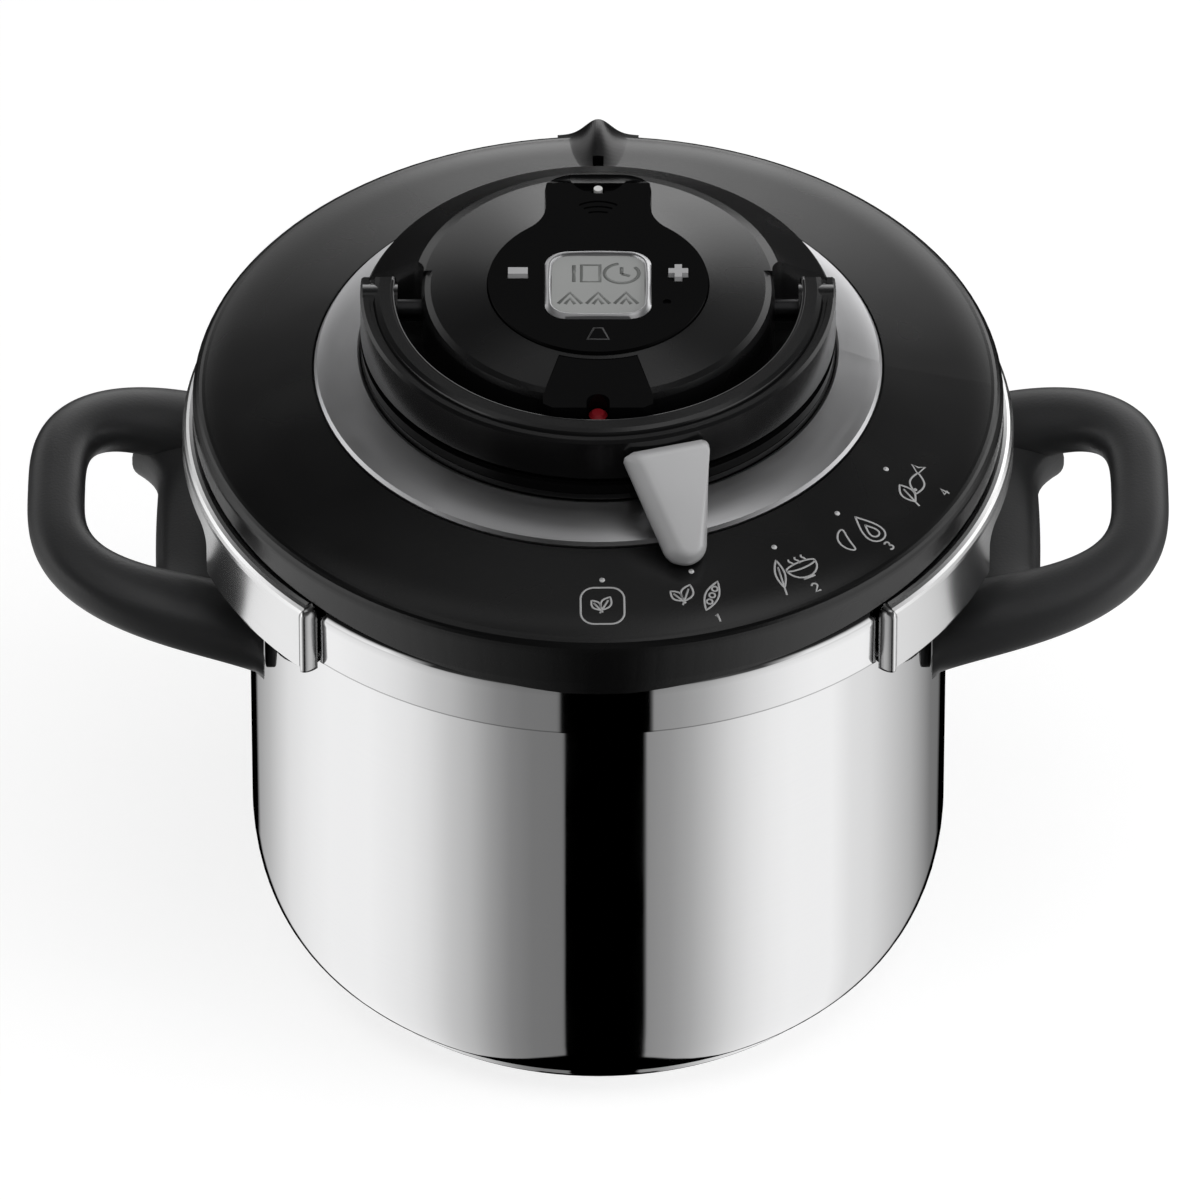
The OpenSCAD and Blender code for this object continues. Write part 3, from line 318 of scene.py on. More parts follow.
# one finish for every slot of the record
finishes = {
    "polished_steel": polishedSteel(),
    "brushed_steel": metalMaterial("brushedSteel", (0.72, 0.72, 0.73), 0.26, 1800.0, 4.0, 0.15, 0.08),
    "core_aluminium": metalMaterial("castAluminium", (0.80, 0.81, 0.82), 0.38, 700.0, 40.0, 0.2, 0.06),
    "dark_steel": metalMaterial("darkSteel", (0.05, 0.05, 0.052), 0.34, 900.0, 20.0, 0.15, 0.06),
    "brass": metalMaterial("brass", (0.80, 0.60, 0.30), 0.25, 1500.0, 6.0, 0.1, 0.06),
    "satin_black": plasticMaterial("satinBlack", (0.004, 0.004, 0.0042), 0.26, 1300.0, 0.2, 0.04),
    "gloss_black": plasticMaterial("glossBlack", (0.002, 0.002, 0.0021), 0.09, 300.0, 0.03, 0.03, 0.12),
    "handle_black": plasticMaterial("handleBlack", (0.0195, 0.0197, 0.0204), 0.42, 1000.0, 0.5, 0.06),
    "satin_silver": metalMaterial("satinSilver", (0.60, 0.60, 0.61), 0.32, 1200.0, 5.0, 0.1, 0.05),
    "silver_plastic": plasticMaterial("silverPlastic", (0.37, 0.37, 0.375), 0.30, 1100.0, 0.12, 0.04),
    "seal_rubber": plasticMaterial("sealRubber", (0.16, 0.165, 0.17), 0.55, 700.0, 0.3, 0.06),
    "red_plastic": plasticMaterial("redPlastic", (0.16, 0.006, 0.010), 0.3, 900.0, 0.08, 0.04),
    "white_plastic": plasticMaterial("whitePlastic", (0.66, 0.66, 0.65), 0.3, 900.0, 0.1, 0.04),
    "board_green": plasticMaterial("boardGreen", (0.02, 0.12, 0.05), 0.4, 500.0, 0.2, 0.06),
    "display_glass": plasticMaterial("displayGlass", (0.30, 0.305, 0.30), 0.1, 300.0, 0.0, 0.02),
}
# pieces with a finish of their own; a crown makes a flat face catch the light as a bowed one does
ownFinish = {
    "cover": plasticMaterial("coverBlack", (0.0025, 0.0025, 0.0026), 0.26, 1300.0, 0.2, 0.04,
                             crown={"Slope": 0.054, "Edge": 0.112, "Width": 0.012, "Drop": 0.2}),
    "bail": plasticMaterial("archBlack", (0.004, 0.004, 0.0042), 0.19, 1300.0, 0.15, 0.04, 0.6),
    "dome": plasticMaterial("domeBlack", (0.004, 0.004, 0.0042), 0.26, 1300.0, 0.2, 0.04,
                            crown={"Slope": -0.24, "Edge": 0.040, "Width": 0.018, "Drop": 0.08}),
    "trim_ring": metalMaterial("ringSilver", (0.60, 0.60, 0.61), 0.30, 1200.0, 5.0, 0.1, 0.05,
                               crown={"Slope": 0.26, "Edge": 0.078, "Width": 0.012, "Drop": 0.25}),
    "jaw_left": jawSteel(),
    "jaw_right": jawSteel(),
}
slotOf = {part["node"]: part["material_slot"] for part in frame["record"]["subparts"]}
bodyOf = {name: body for body, names in frame["record"]["behaviour"]["bodies"].items() for name in names}
for name, node in nodes.items():
    node.data.materials.clear()
    node.data.materials.append(ownFinish.get(name, finishes[slotOf[name]]))
print("finishes ready:", len(finishes))


def sceneObject(name, data):
    item = bpy.data.objects.new(name, data)
    bpy.context.scene.collection.objects.link(item)
    return item


def shadeSmooth(mesh, angle):
    mesh.polygons.foreach_set("use_smooth", np.ones(len(mesh.polygons), bool))
    mesh.set_sharp_from_angle(angle=math.radians(angle))


# object with a mesh from arrays of points and of faces, smooth up to the given angle
def meshObject(name, points, faces, material, angle=40.0):
    mesh = bpy.data.meshes.new(name)
    mesh.from_pydata(np.asarray(points, float).tolist(), [], [list(map(int, face)) for face in faces])
    mesh.update()
    shadeSmooth(mesh, angle)
    mesh.materials.append(material)
    return sceneObject(name, mesh)


# gives an open surface a wall
def thicken(piece, thickness):
    piece.modifiers.new("wall", "SOLIDIFY").thickness = thickness


# the same solid with its loose triangles joined, so that its curved faces shade evenly
def joinedCopy(node, angle):
    mesh = nodes[node].data.copy()
    work = bmesh.new()
    work.from_mesh(mesh)
    bmesh.ops.remove_doubles(work, verts=work.verts, dist=0.000002)
    work.to_mesh(mesh)
    work.free()
    shadeSmooth(mesh, angle)
    piece = sceneObject("smooth_" + node, mesh)
    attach(piece, bodyOf[node])
    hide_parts(node)
    return piece


for node in ("pot_body", "lid_dish"):
    joinedCopy(node, 30.0)
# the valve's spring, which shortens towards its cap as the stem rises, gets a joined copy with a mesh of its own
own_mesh(joinedCopy("valve_spring", 40.0))
print("joined copies ready")


# faces between the rows of a grid of points; either way round may be closed
def gridFaces(rows, columns, closeRows=False, closeColumns=False, first=0, flip=False):
    i, j = np.meshgrid(np.arange(rows if closeRows else rows - 1), np.arange(columns if closeColumns else columns - 1),
                       indexing="ij")
    a, b = i.ravel(), j.ravel()
    c, d = (a + 1) % rows, (b + 1) % columns
    faces = np.stack([a * columns + b, a * columns + d, c * columns + d, c * columns + b], 1) + first
    return faces[:, ::-1] if flip else faces


# keeps the sign, for rounded squares and flattened ovals
def signedPower(value, power):
    return np.sign(value) * np.abs(value) ** power


# block with rounded sides: each half size times squashed sines and cosines of two angles
def roundedBlock(middle, half, power=0.35, rows=17, columns=28):
    v = np.linspace(-math.pi / 2, math.pi / 2, rows)[1:-1]
    w = np.linspace(0, 2 * math.pi, columns, endpoint=False)
    ring = signedPower(np.cos(v), power)[:, None]
    x, y = ring * signedPower(np.cos(w), power)[None, :], ring * signedPower(np.sin(w), power)[None, :]
    z = np.broadcast_to(signedPower(np.sin(v), power)[:, None], x.shape)
    points = np.stack([x, y, z], 2) * half + middle
    faces = list(gridFaces(rows - 2, columns, closeColumns=True))
    faces += [np.arange(columns)[::-1], np.arange(columns) + (rows - 3) * columns]
    return points.reshape(-1, 3), faces


handleLook = {
    "start": 0.0997, "reach": 0.072, "side": 0.0482, "draw": -0.004,  # middle line seen from above
    "roundOut": 0.59, "roundSide": 0.62,
    "rootHeight": 0.1408, "gripHeight": 0.1652, "rise": 0.45,
    "rootSize": (0.0310, 0.0222), "gripSize": (0.0182, 0.0150), "thicken": 0.99, "roundSection": 0.9,
    "potRadius": 0.1133, "end": 0.1054, "sections": 120, "sides": 48,
}


# loop handle: the middle line runs out and back as a flattened oval over the angle a from -90 to 90,
# x = start + reach * cos(a)^roundOut, y = (side + draw * |a/90|^4) * sin(a)^roundSide, and rises with
# cos(a)^rise; each section is an oval that stands across the line, wider and taller at the roots
def loopHandle(side):
    look = handleLook
    rows, columns = look["sections"], look["sides"]
    t = np.linspace(0.001, 0.999, rows)
    a = math.pi * (t - 0.5)
    out = np.maximum(np.cos(a), 1e-6)
    x = look["start"] + look["reach"] * out ** look["roundOut"]
    y = (look["side"] + look["draw"] * np.abs(2 * t - 1) ** 4) * signedPower(np.sin(a), look["roundSide"])
    z = look["rootHeight"] + (look["gripHeight"] - look["rootHeight"]) * out ** look["rise"]
    grow = out ** look["thicken"]
    wide, high = ((root + (grip - root) * grow) / 2 for root, grip in zip(look["rootSize"], look["gripSize"]))
    dx, dy = np.gradient(x), np.gradient(y)
    length = np.hypot(dx, dy)
    v = np.linspace(0, 2 * math.pi, columns, endpoint=False)
    u = signedPower(np.cos(v), look["roundSection"])[None, :] * wide[:, None]
    points = np.stack([x[:, None] + (dy / length)[:, None] * u, y[:, None] - (dx / length)[:, None] * u,
                       z[:, None] + signedPower(np.sin(v), look["roundSection"])[None, :] * high[:, None]], 2)
    radius = np.hypot(points[..., 0], points[..., 1])
    push = np.maximum(1.0, look["potRadius"] / radius)
    points[..., :2] *= push[..., None]
    points = points.reshape(-1, 3)
    points[:, 0] = np.maximum(points[:, 0], look["end"])
    faces = list(gridFaces(rows, columns, closeColumns=True, flip=side < 0))
    ends = [np.arange(columns), np.arange(columns)[::-1] + (rows - 1) * columns]
    faces += [end[::-1] if side < 0 else end for end in ends]
    points[:, 0] *= side
    return points, faces


webLook = {"inner": 0.1133, "outer": 0.1392, "bow": 0.0012, "half": 0.037, "middle": 0.1475, "height": 0.0215,
           "flare": 0.0095, "flareFrom": 0.017, "flareBend": 2.6, "roundOut": 0.55, "roundUp": 0.7}


# bridge between the roots of a handle: a half oval section carried from the one root to the other,
# x = inner + (outer - inner) * cos(v)^roundOut, z = middle + height / 2 * sin(v)^roundUp, closed at the back;
# outer bows a little in the middle and flares out into the limbs at both ends
def handleWeb(side, first):
    look = webLook
    rows, columns = 40, 28
    y = np.linspace(-look["half"], look["half"], rows)
    v = np.linspace(-math.pi / 2, math.pi / 2, columns)
    inner = np.sqrt(look["inner"] ** 2 - y ** 2)
    outer = look["outer"] + look["bow"] * (1 - (y / look["half"]) ** 2)
    past = np.maximum(np.abs(y) - look["flareFrom"], 0) / (look["half"] - look["flareFrom"])
    outer += look["flare"] * past ** look["flareBend"]
    x = inner[:, None] + (outer - inner)[:, None] * np.maximum(np.cos(v), 0)[None, :] ** look["roundOut"]
    z = look["middle"] + look["height"] / 2 * signedPower(np.sin(v), look["roundUp"])
    points = np.stack([x * side, np.broadcast_to(y[:, None], x.shape), np.broadcast_to(z[None, :], x.shape)], 2)
    faces = list(gridFaces(rows, columns, closeColumns=True, first=first, flip=side > 0))
    ends = [first + np.arange(columns), first + np.arange(columns)[::-1] + (rows - 1) * columns]
    faces += [end if side > 0 else end[::-1] for end in ends]
    return points.reshape(-1, 3), faces


sides = (("left", -1), ("right", 1))
for label, side in sides:
    points, faces = loopHandle(side)
    webPoints, webFaces = handleWeb(side, len(points))
    piece = meshObject("loop_handle_" + label, np.concatenate([points, webPoints]), faces + webFaces,
                       finishes["handle_black"], 60.0)
    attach(piece, "pot")
    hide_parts("handle_" + label)


footLook = {"middle": (0.1033, 0.0470, 0.1448), "half": (0.0019, 0.0070, 0.0080), "plate": (0.0016, 0.048, 0.0085),
            "plateRadius": 0.1118, "plateMiddle": 0.1475, "round": 0.3}


# two feet behind a handle's roots and the plate between them, a block bent round the pot:
# its depth is added to the radius, its width becomes an angle
def handleBracket(side):
    look = footLook
    plate, faces = roundedBlock(np.zeros(3), look["plate"], look["round"], 17, 120)
    radius, turn = look["plateRadius"] + plate[:, 0], plate[:, 1] / look["plateRadius"]
    height = look["plateMiddle"] + plate[:, 2]
    blocks = [np.stack([side * radius * np.cos(turn), side * radius * np.sin(turn), height], 1)]
    for end in (-1, 1):
        foot, footFaces = roundedBlock(np.array(look["middle"]) * (side, end, 1), look["half"], look["round"])
        faces += [np.asarray(face) + sum(map(len, blocks)) for face in footFaces]
        blocks.append(foot)
    return np.concatenate(blocks), faces


for label, side in sides:
    points, faces = handleBracket(side)
    piece = meshObject("handle_foot_" + label, points, faces, finishes["dark_steel"], 60.0)
    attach(piece, "pot")
    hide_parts("bracket_" + label)
print("handles ready")


beadLook = {"end": 45.2, "radius": 0.1269, "step": 0.0050, "reach": 0.0023,
            "low": 0.1697, "high": 0.1948, "round": 0.0035, "curl": -1.1, "wall": 0.0006}


# rolled ends of a jaw: a quarter round from the jaw's face in to the pot, carried up the end, with
# radius = inner + step * cos(s), distance beyond the end = reach * sin(s), both drawn in over the last
# bit of height by sqrt(1 - t^2)
def jawBeads(side):
    look = beadLook
    rows, columns = 26, 14
    z = np.linspace(look["low"], look["high"], rows)
    t = np.maximum(0, (z - look["high"] + look["round"]) / look["round"])
    tight = np.sqrt(np.maximum(1 - t ** 2, 0.0))
    s = np.linspace(look["curl"], math.pi / 2, columns)
    points, faces = [], []
    for end in (-1, 1):
        turn = math.radians(look["end"]) * end
        outward, along = np.array([math.cos(turn), math.sin(turn)]), np.array([-math.sin(turn), math.cos(turn)]) * end
        radius = look["radius"] + look["step"] * np.cos(s)[None, :] * tight[:, None]
        beyond = look["reach"] * np.sin(s)[None, :] * tight[:, None]
        flat = radius[..., None] * outward + beyond[..., None] * along
        flat[..., 0] *= side
        points.append(np.concatenate([flat, np.broadcast_to(z[:, None, None], (rows, columns, 1))], 2).reshape(-1, 3))
        faces.append(gridFaces(rows, columns, first=rows * columns * (len(points) - 1), flip=side * end < 0))
    return np.concatenate(points), np.concatenate(faces)


for label, side in sides:
    points, faces = jawBeads(side)
    piece = meshObject("jaw_beads_" + label, points, faces, ownFinish["jaw_" + label], 80.0)
    thicken(piece, beadLook["wall"])
    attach(piece, "jaw_" + label[0])
print("jaw ends ready")


rollLook = {"inner": 0.0638, "radius": 0.0011, "start": 174.5, "end": 365.5,
            "curl": -0.25, "lift": 0.00004, "wall": 0.0003}


# rounded inner edge of the arch handle: a quarter round of the given radius carried round the arch,
# distance = inner + radius * (1 - sin(s)), height = top - radius * (1 - cos(s)), s from curl to 90 degrees
def archEdge():
    look = rollLook
    rows, columns = 120, 9
    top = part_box("bail")[1][2]
    a = np.radians(np.linspace(look["start"], look["end"], rows))
    s = np.linspace(look["curl"], math.pi / 2, columns)
    distance = look["inner"] + look["radius"] * (1 - np.sin(s))
    height = top - look["radius"] * (1 - np.cos(s)) + look["lift"]
    points = np.stack([distance[None, :] * np.cos(a)[:, None], distance[None, :] * np.sin(a)[:, None],
                       np.broadcast_to(height[None, :], (rows, columns))], 2)
    return points.reshape(-1, 3), gridFaces(rows, columns, flip=True)


points, faces = archEdge()
edgeBlack = plasticMaterial("edgeBlack", (0.004, 0.004, 0.0042), 0.16, 1300.0, 0.1, 0.03)
piece = meshObject("arch_edge", points, faces, edgeBlack, 80.0)
thicken(piece, rollLook["wall"])
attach(piece, "arch_handle")


# printed marks on the cover: turns in degrees to the right of the front, and the cover's own slope
markLook = {"line": 0.00062, "dotLine": 0.0009, "lift": 0.00004,
            "dotRadius": 0.1022, "iconRadius": 0.1120, "numberRadius": 0.1212, "numberTurn": 1.5,
            "turns": (0.7, 16.5, 32.5, 47.0, 62.0), "rim": 0.2095, "rimRadius": 0.124, "slope": 0.226}


def coverHeight(radius):
    return markLook["rim"] + markLook["slope"] * (markLook["rimRadius"] - radius)


leverLook = {
    "turn": 16.3, "start": 0.0774, "top": 0.2467, "slope": 45.1,  # inner end of its face, and how steeply it falls
    "half": 0.0138, "corner": 0.0024, "tip": 0.0072, "length": 0.0385, "arcPoints": 22,
    "leftFlank": 1.7, "rightFlank": 0.5, "tipFlank": 1.3, "tipShift": 0.3,  # how much each side slopes
    # (inwards, below the face) round the edge, widest first
    "profile": [(0.0010, 0.0084), (0.0, 0.0066), (0.0001, 0.0050), (0.0006, 0.0034), (0.0016, 0.0014), (0.0021, 0.0007),
                (0.0027, 0.0002), (0.0034, 0.0)],
    "clear": 0.0754,  # stays outside the arch handle and the drum
    "overCover": 0.0007,
    # middle of the neck (across, outwards, up) and its half sizes
    "neck": (0.0, 0.0790, 0.2338), "neckHalf": (0.0085, 0.0036, 0.0088),
}


# pointer of the program ring: the hull of three circles, two at the inner corners and one at the tip,
# drawn in step by step by an edge profile, and laid on a face that falls away outwards
def leverShell():
    look = leverLook
    corner, rings = look["corner"], []
    for inset, drop in look["profile"]:
        tip = look["tip"] - inset * look["tipFlank"]
        end = np.array([inset * look["tipShift"], look["length"] - look["tip"]])
        left = np.array([corner - look["half"] + inset * look["leftFlank"], corner + inset])
        right = np.array([look["half"] - corner - inset * look["rightFlank"], corner + inset])
        leans = []
        for way in (end - right, (end - left) * (-1, 1)):
            leans.append(math.degrees(math.atan2(way[1], way[0]) - math.acos((corner - tip) / math.hypot(*way))))
        a, b = leans[0], 180 - leans[1]
        parts = [(right, corner, -90.0, a), (end, tip, a, b), (left, corner, b, 270.0)]
        ring = []
        for centre, radius, low, high in parts:
            turns = np.radians(np.linspace(low, high, look["arcPoints"]))
            ring.append(centre + radius * np.stack([np.cos(turns), np.sin(turns)], 1))
        ring = np.concatenate(ring)
        rings.append(np.concatenate([ring, np.full((len(ring), 1), drop)], 1))
    flat = np.stack(rings, 1)
    drop = flat[..., 2]
    tilt, turn = math.radians(look["slope"]), math.radians(look["turn"])
    along, across = flat[..., 1], flat[..., 0]
    out = np.maximum(look["start"] + along * math.cos(tilt) - drop * math.sin(tilt), look["clear"])
    height = look["top"] - along * math.sin(tilt) - drop * math.cos(tilt)
    height = np.maximum(height, coverHeight(out) + look["overCover"])
    points = np.stack([across * math.cos(turn) + out * math.sin(turn), across * math.sin(turn) - out * math.cos(turn),
                       height], 2)
    rows, columns = points.shape[:2]
    faces = list(gridFaces(rows, columns, closeRows=True))
    faces += [np.arange(rows)[::-1] * columns + columns - 1, np.arange(rows) * columns]
    return points.reshape(-1, 3), faces


shell, shellFaces = leverShell()
x, out, z = leverLook["neck"]
neck, neckFaces = roundedBlock((x, -out, z), leverLook["neckHalf"])
turn = math.radians(leverLook["turn"])
neck = neck @ np.array([[math.cos(turn), math.sin(turn), 0], [-math.sin(turn), math.cos(turn), 0], [0, 0, 1]])
faces = shellFaces + [np.asarray(face) + len(shell) for face in neckFaces]
piece = meshObject("program_pointer", np.concatenate([shell, neck]), faces, finishes["silver_plastic"], 65.0)
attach(piece, "selector")
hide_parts("selector_lever")
print("pointer ready")


# an arc of an oval, angles in degrees from the right, anticlockwise
def arc(cx, cy, rx, ry=None, start=0.0, end=360.0, count=28):
    a = np.radians(np.linspace(start, end, count, endpoint=abs(end - start) < 359.9))
    return np.stack([cx + rx * np.cos(a), cy + (rx if ry is None else ry) * np.sin(a)], 1), abs(end - start) > 359.9


# a path through given corners, closed or open
def path(*corners, closed=False):
    return np.array(corners, float), closed


# turns and moves strokes drawn in millimetres
def moved(strokes, x, y, turn=0.0, size=1.0):
    c, s = math.cos(math.radians(turn)) * size, math.sin(math.radians(turn)) * size
    return [(line @ np.array([[c, s], [-s, c]]) + (x, y), closed) for line, closed in strokes]


# leaf: two bowed sides, y = +-w * sin(pi * t), with a rib and two veins
def leaf(length, width):
    t = np.linspace(0, 1, 14)
    side = width / 2 * np.sin(math.pi * t)
    upper, lower = np.stack([t * length, side], 1), np.stack([t[::-1] * length, -side[::-1]], 1)
    return [(np.concatenate([upper, lower[1:-1]]), True), path((-0.25 * length, 0), (0.75 * length, 0))]


def pod(length, width):
    seeds = [arc(length * f, 0, width * 0.22, count=12) for f in (0.3, 0.52, 0.74)]
    return [leaf(length, width)[0]] + seeds


def bowl(width):
    steam = np.linspace(0, 1, 12)
    rises = [(np.stack([x + 0.35 * np.sin(steam * 2 * math.pi), 0.9 + steam * 2.6], 1), False)
             for x in (-width * 0.22, 0.0, width * 0.22)]
    return [arc(0, 0, width / 2, width * 0.46, 180, 360, 20), arc(0, 0, width / 2, width * 0.12),
            path((-width * 0.2, -width * 0.5), (width * 0.2, -width * 0.5))] + rises


def drop(size):
    t = np.linspace(0, 2 * math.pi, 26, endpoint=False)
    return [(np.stack([size * 0.5 * np.sin(t) * np.sin(t / 2) ** 1.4, -size * 0.62 * np.cos(t - math.pi)], 1), True)]


def fish(length):
    body = leaf(length * 0.74, length * 0.36)[0]
    tail = path((length * 0.70, 0.02), (length, length * 0.17), (length * 0.93, 0), (length, -length * 0.17),
                closed=True)
    return [body, tail, arc(length * 0.14, length * 0.03, length * 0.025, count=8)]


def bean(length):
    t = np.linspace(0, 2 * math.pi, 28, endpoint=False)
    x = length / 2 * np.cos(t)
    y = length * 0.2 * np.sin(t) + length * 0.16 * (1 - (2 * x / length) ** 2)
    return [(np.stack([x, y], 1), True)]


def digit(number):
    if number == 1:
        return [path((-0.6, 0.7), (0.1, 1.3), (0.1, -1.3))]
    if number == 2:
        top = arc(0, 0.55, 0.75, 0.75, 165, -35, 12)[0]
        return [(np.concatenate([top, [(-0.75, -1.3), (0.8, -1.3)]]), False)]
    if number == 3:
        upper, lower = arc(0, 0.65, 0.68, 0.65, 150, -80, 11)[0], arc(0, -0.65, 0.75, 0.66, 80, -150, 11)[0]
        return [(np.concatenate([upper, lower]), False)]
    return [path((0.35, -1.3), (0.35, 1.3), (-0.8, -0.45), (0.85, -0.45))]


def roundedFrame(width, height, corner, count=9):
    parts = [arc(sx * (width / 2 - corner), sy * (height / 2 - corner), corner, None, start, start + 90, count)[0]
             for sx, sy, start in ((1, 1, 0), (-1, 1, 90), (-1, -1, 180), (1, -1, 270))]
    return [(np.concatenate(parts), True)]


inkLook = {"thick": 0.00003, "lift": 0.00003}


# flat line work: every line is widened by half its width to both sides along its own normal
def strokeMesh(name, strokes, width, lay, material):
    points, faces, first = [], [], 0
    for line, closed in strokes:
        ahead = np.roll(line, -1, 0) if closed else np.concatenate([line[1:], line[-1:]])
        behind = np.roll(line, 1, 0) if closed else np.concatenate([line[:1], line[:-1]])
        along = ahead - behind
        along /= np.maximum(np.linalg.norm(along, axis=1, keepdims=True), 1e-9)
        side = np.stack([-along[:, 1], along[:, 0]], 1) * width / 2
        count = len(line)
        points.append(np.concatenate([line + side, line - side]))
        i = np.arange(count if closed else count - 1)
        j = (i + 1) % count
        faces.append(np.stack([i, i + count, j + count, j], 1) + first)
        first += 2 * count
    piece = meshObject(name, lay(np.concatenate(points)), np.concatenate(faces), material)
    thicken(piece, inkLook["thick"])
    return piece


# lays marks on the sloping cover: round by turn, outwards by radius, at the height of the slope
def layOnCover(points):
    height = coverHeight(np.hypot(points[:, 0], points[:, 1]))
    return np.column_stack([points, height + markLook["lift"]])


# moves strokes in millimetres to a place on the cover, upright towards the middle
def onCover(strokes, radius, turn):
    a = math.radians(turn)
    spin = np.array([[math.cos(a), math.sin(a)], [-math.sin(a), math.cos(a)]])
    return [(line * 0.001 @ spin + (radius * math.sin(a), -radius * math.cos(a)), closed) for line, closed in strokes]


# one drawing for each stop of the pointer; the first has a frame and no number
icons = [
    roundedFrame(13.6, 13.8, 4.2) + moved(leaf(5.6, 3.2), -0.2, -1.6, 62) + moved(leaf(4.6, 2.6), -0.6, -1.6, 128),
    moved(leaf(6.6, 3.8), -5.4, -0.6, 58) + moved(leaf(5.2, 3.0), -5.8, -0.4, 122)
    + moved(pod(12.0, 4.2), 0.2, -5.6, 56),
    moved(leaf(11.0, 3.0), -5.8, -5.2, 72) + moved(bowl(10.4), 3.6, 0.2),
    moved(bean(8.6), -5.4, 0.4, 72) + moved(drop(9.4), 3.4, -0.4) + moved(drop(4.4), 3.4, -1.6),
    moved(leaf(8.0, 4.4), -6.6, -4.0, 66) + moved(fish(12.6), -3.4, -2.6, 24),
]
marks, dots = [], []
for number, (icon, turn) in enumerate(zip(icons, markLook["turns"])):
    marks += onCover(icon, markLook["iconRadius"], turn)
    dots += onCover([arc(0, 0, 0.45, count=12)], markLook["dotRadius"], turn)
    if number:
        marks += onCover(moved(digit(number), 0, 0, size=1.2), markLook["numberRadius"],
                       turn + markLook["numberTurn"])
printGrey = plasticMaterial("printGrey", (0.32, 0.32, 0.322), 0.45, 900.0, 0.05, 0.04)
dotGrey = plasticMaterial("dotGrey", (0.42, 0.42, 0.422), 0.45, 900.0, 0.05, 0.04)
for label, strokes, line, ink in (("cover_marks", marks, "line", printGrey),
                                  ("cover_dots", dots, "dotLine", dotGrey)):
    piece = strokeMesh(label, strokes, markLook[line], layOnCover, ink)
    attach(piece, "lid")
print("marks ready:", len(marks) + len(dots), "lines")


screenLook = {"line": 1.15, "ink": (0.115, 0.12, 0.115), "middle": (0.0, -1.9)}  # millimetres


def layOnScreen(points):
    place = points * 0.001 + np.array(screenLook["middle"]) * 0.001
    return np.column_stack([place, np.full(len(points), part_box("timer_lens")[1][2] + inkLook["lift"])])


def chevron(x, y, size):
    return [path((x - size, y - size * 0.75), (x, y + size * 0.75), (x + size, y - size * 0.75)),
            path((x - size * 0.42, y - size * 0.8), (x, y - size * 0.05), (x + size * 0.42, y - size * 0.8))]


screen = [path((-7.6, 1.6), (-7.6, 10.0)), path((-5.2, 1.8), (-5.2, 10.0), (0.6, 10.0), (0.6, 1.8), closed=True),
          arc(7.4, 5.9, 5.4, 4.8, 100, 400, 36), path((7.4, 5.6), (7.4, 9.0)), path((7.4, 5.6), (10.0, 4.6))]
for x in (-8.8, 0.0, 8.8):
    screen += chevron(x, -6.4, 3.7)
screenInk = plasticMaterial("screenInk", screenLook["ink"], 0.3, 300.0, 0.0, 0.02)
piece = strokeMesh("screen_figures", screen, screenLook["line"], layOnScreen, screenInk)
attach(piece, "timer")


# middle and line in millimetres; above is a height in metres over the whole part
caseLook = {"middle": (0.0, -25.6), "line": 0.75, "above": 0.3, "ink": (0.022, 0.022, 0.0225)}


# lays marks flat on the timer's case, below the display
def layOnCase(points):
    x, y = (0.001 * value for value in caseLook["middle"])
    height = nodes["timer_case"].ray_cast((x, y, caseLook["above"]), (0, 0, -1))[1][2]
    return np.column_stack([points * 0.001 + (x, y), np.full(len(points), height + inkLook["lift"])])


arrow = [path((-3.4, -3.0), (-1.3, 2.6), (1.3, 2.6), (3.4, -3.0), closed=True)]
caseInk = plasticMaterial("caseInk", caseLook["ink"], 0.4, 900.0, 0.05, 0.03)
piece = strokeMesh("timer_arrow", arrow, caseLook["line"], layOnCase, caseInk)
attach(piece, "timer")


bezelLook = {"corner": 7.1, "cornerPoints": 14, "sidePoints": 10, "bow": 1.1, "fullBow": 0.95,
             "profile": [(0.0, -1.1), (0.0, 0.1), (0.55, 0.75), (0.95, 1.15), (1.25, 1.2),
                         (1.55, 1.05), (1.8, 0.5), (2.0, 0.0), (2.05, -1.1)]}


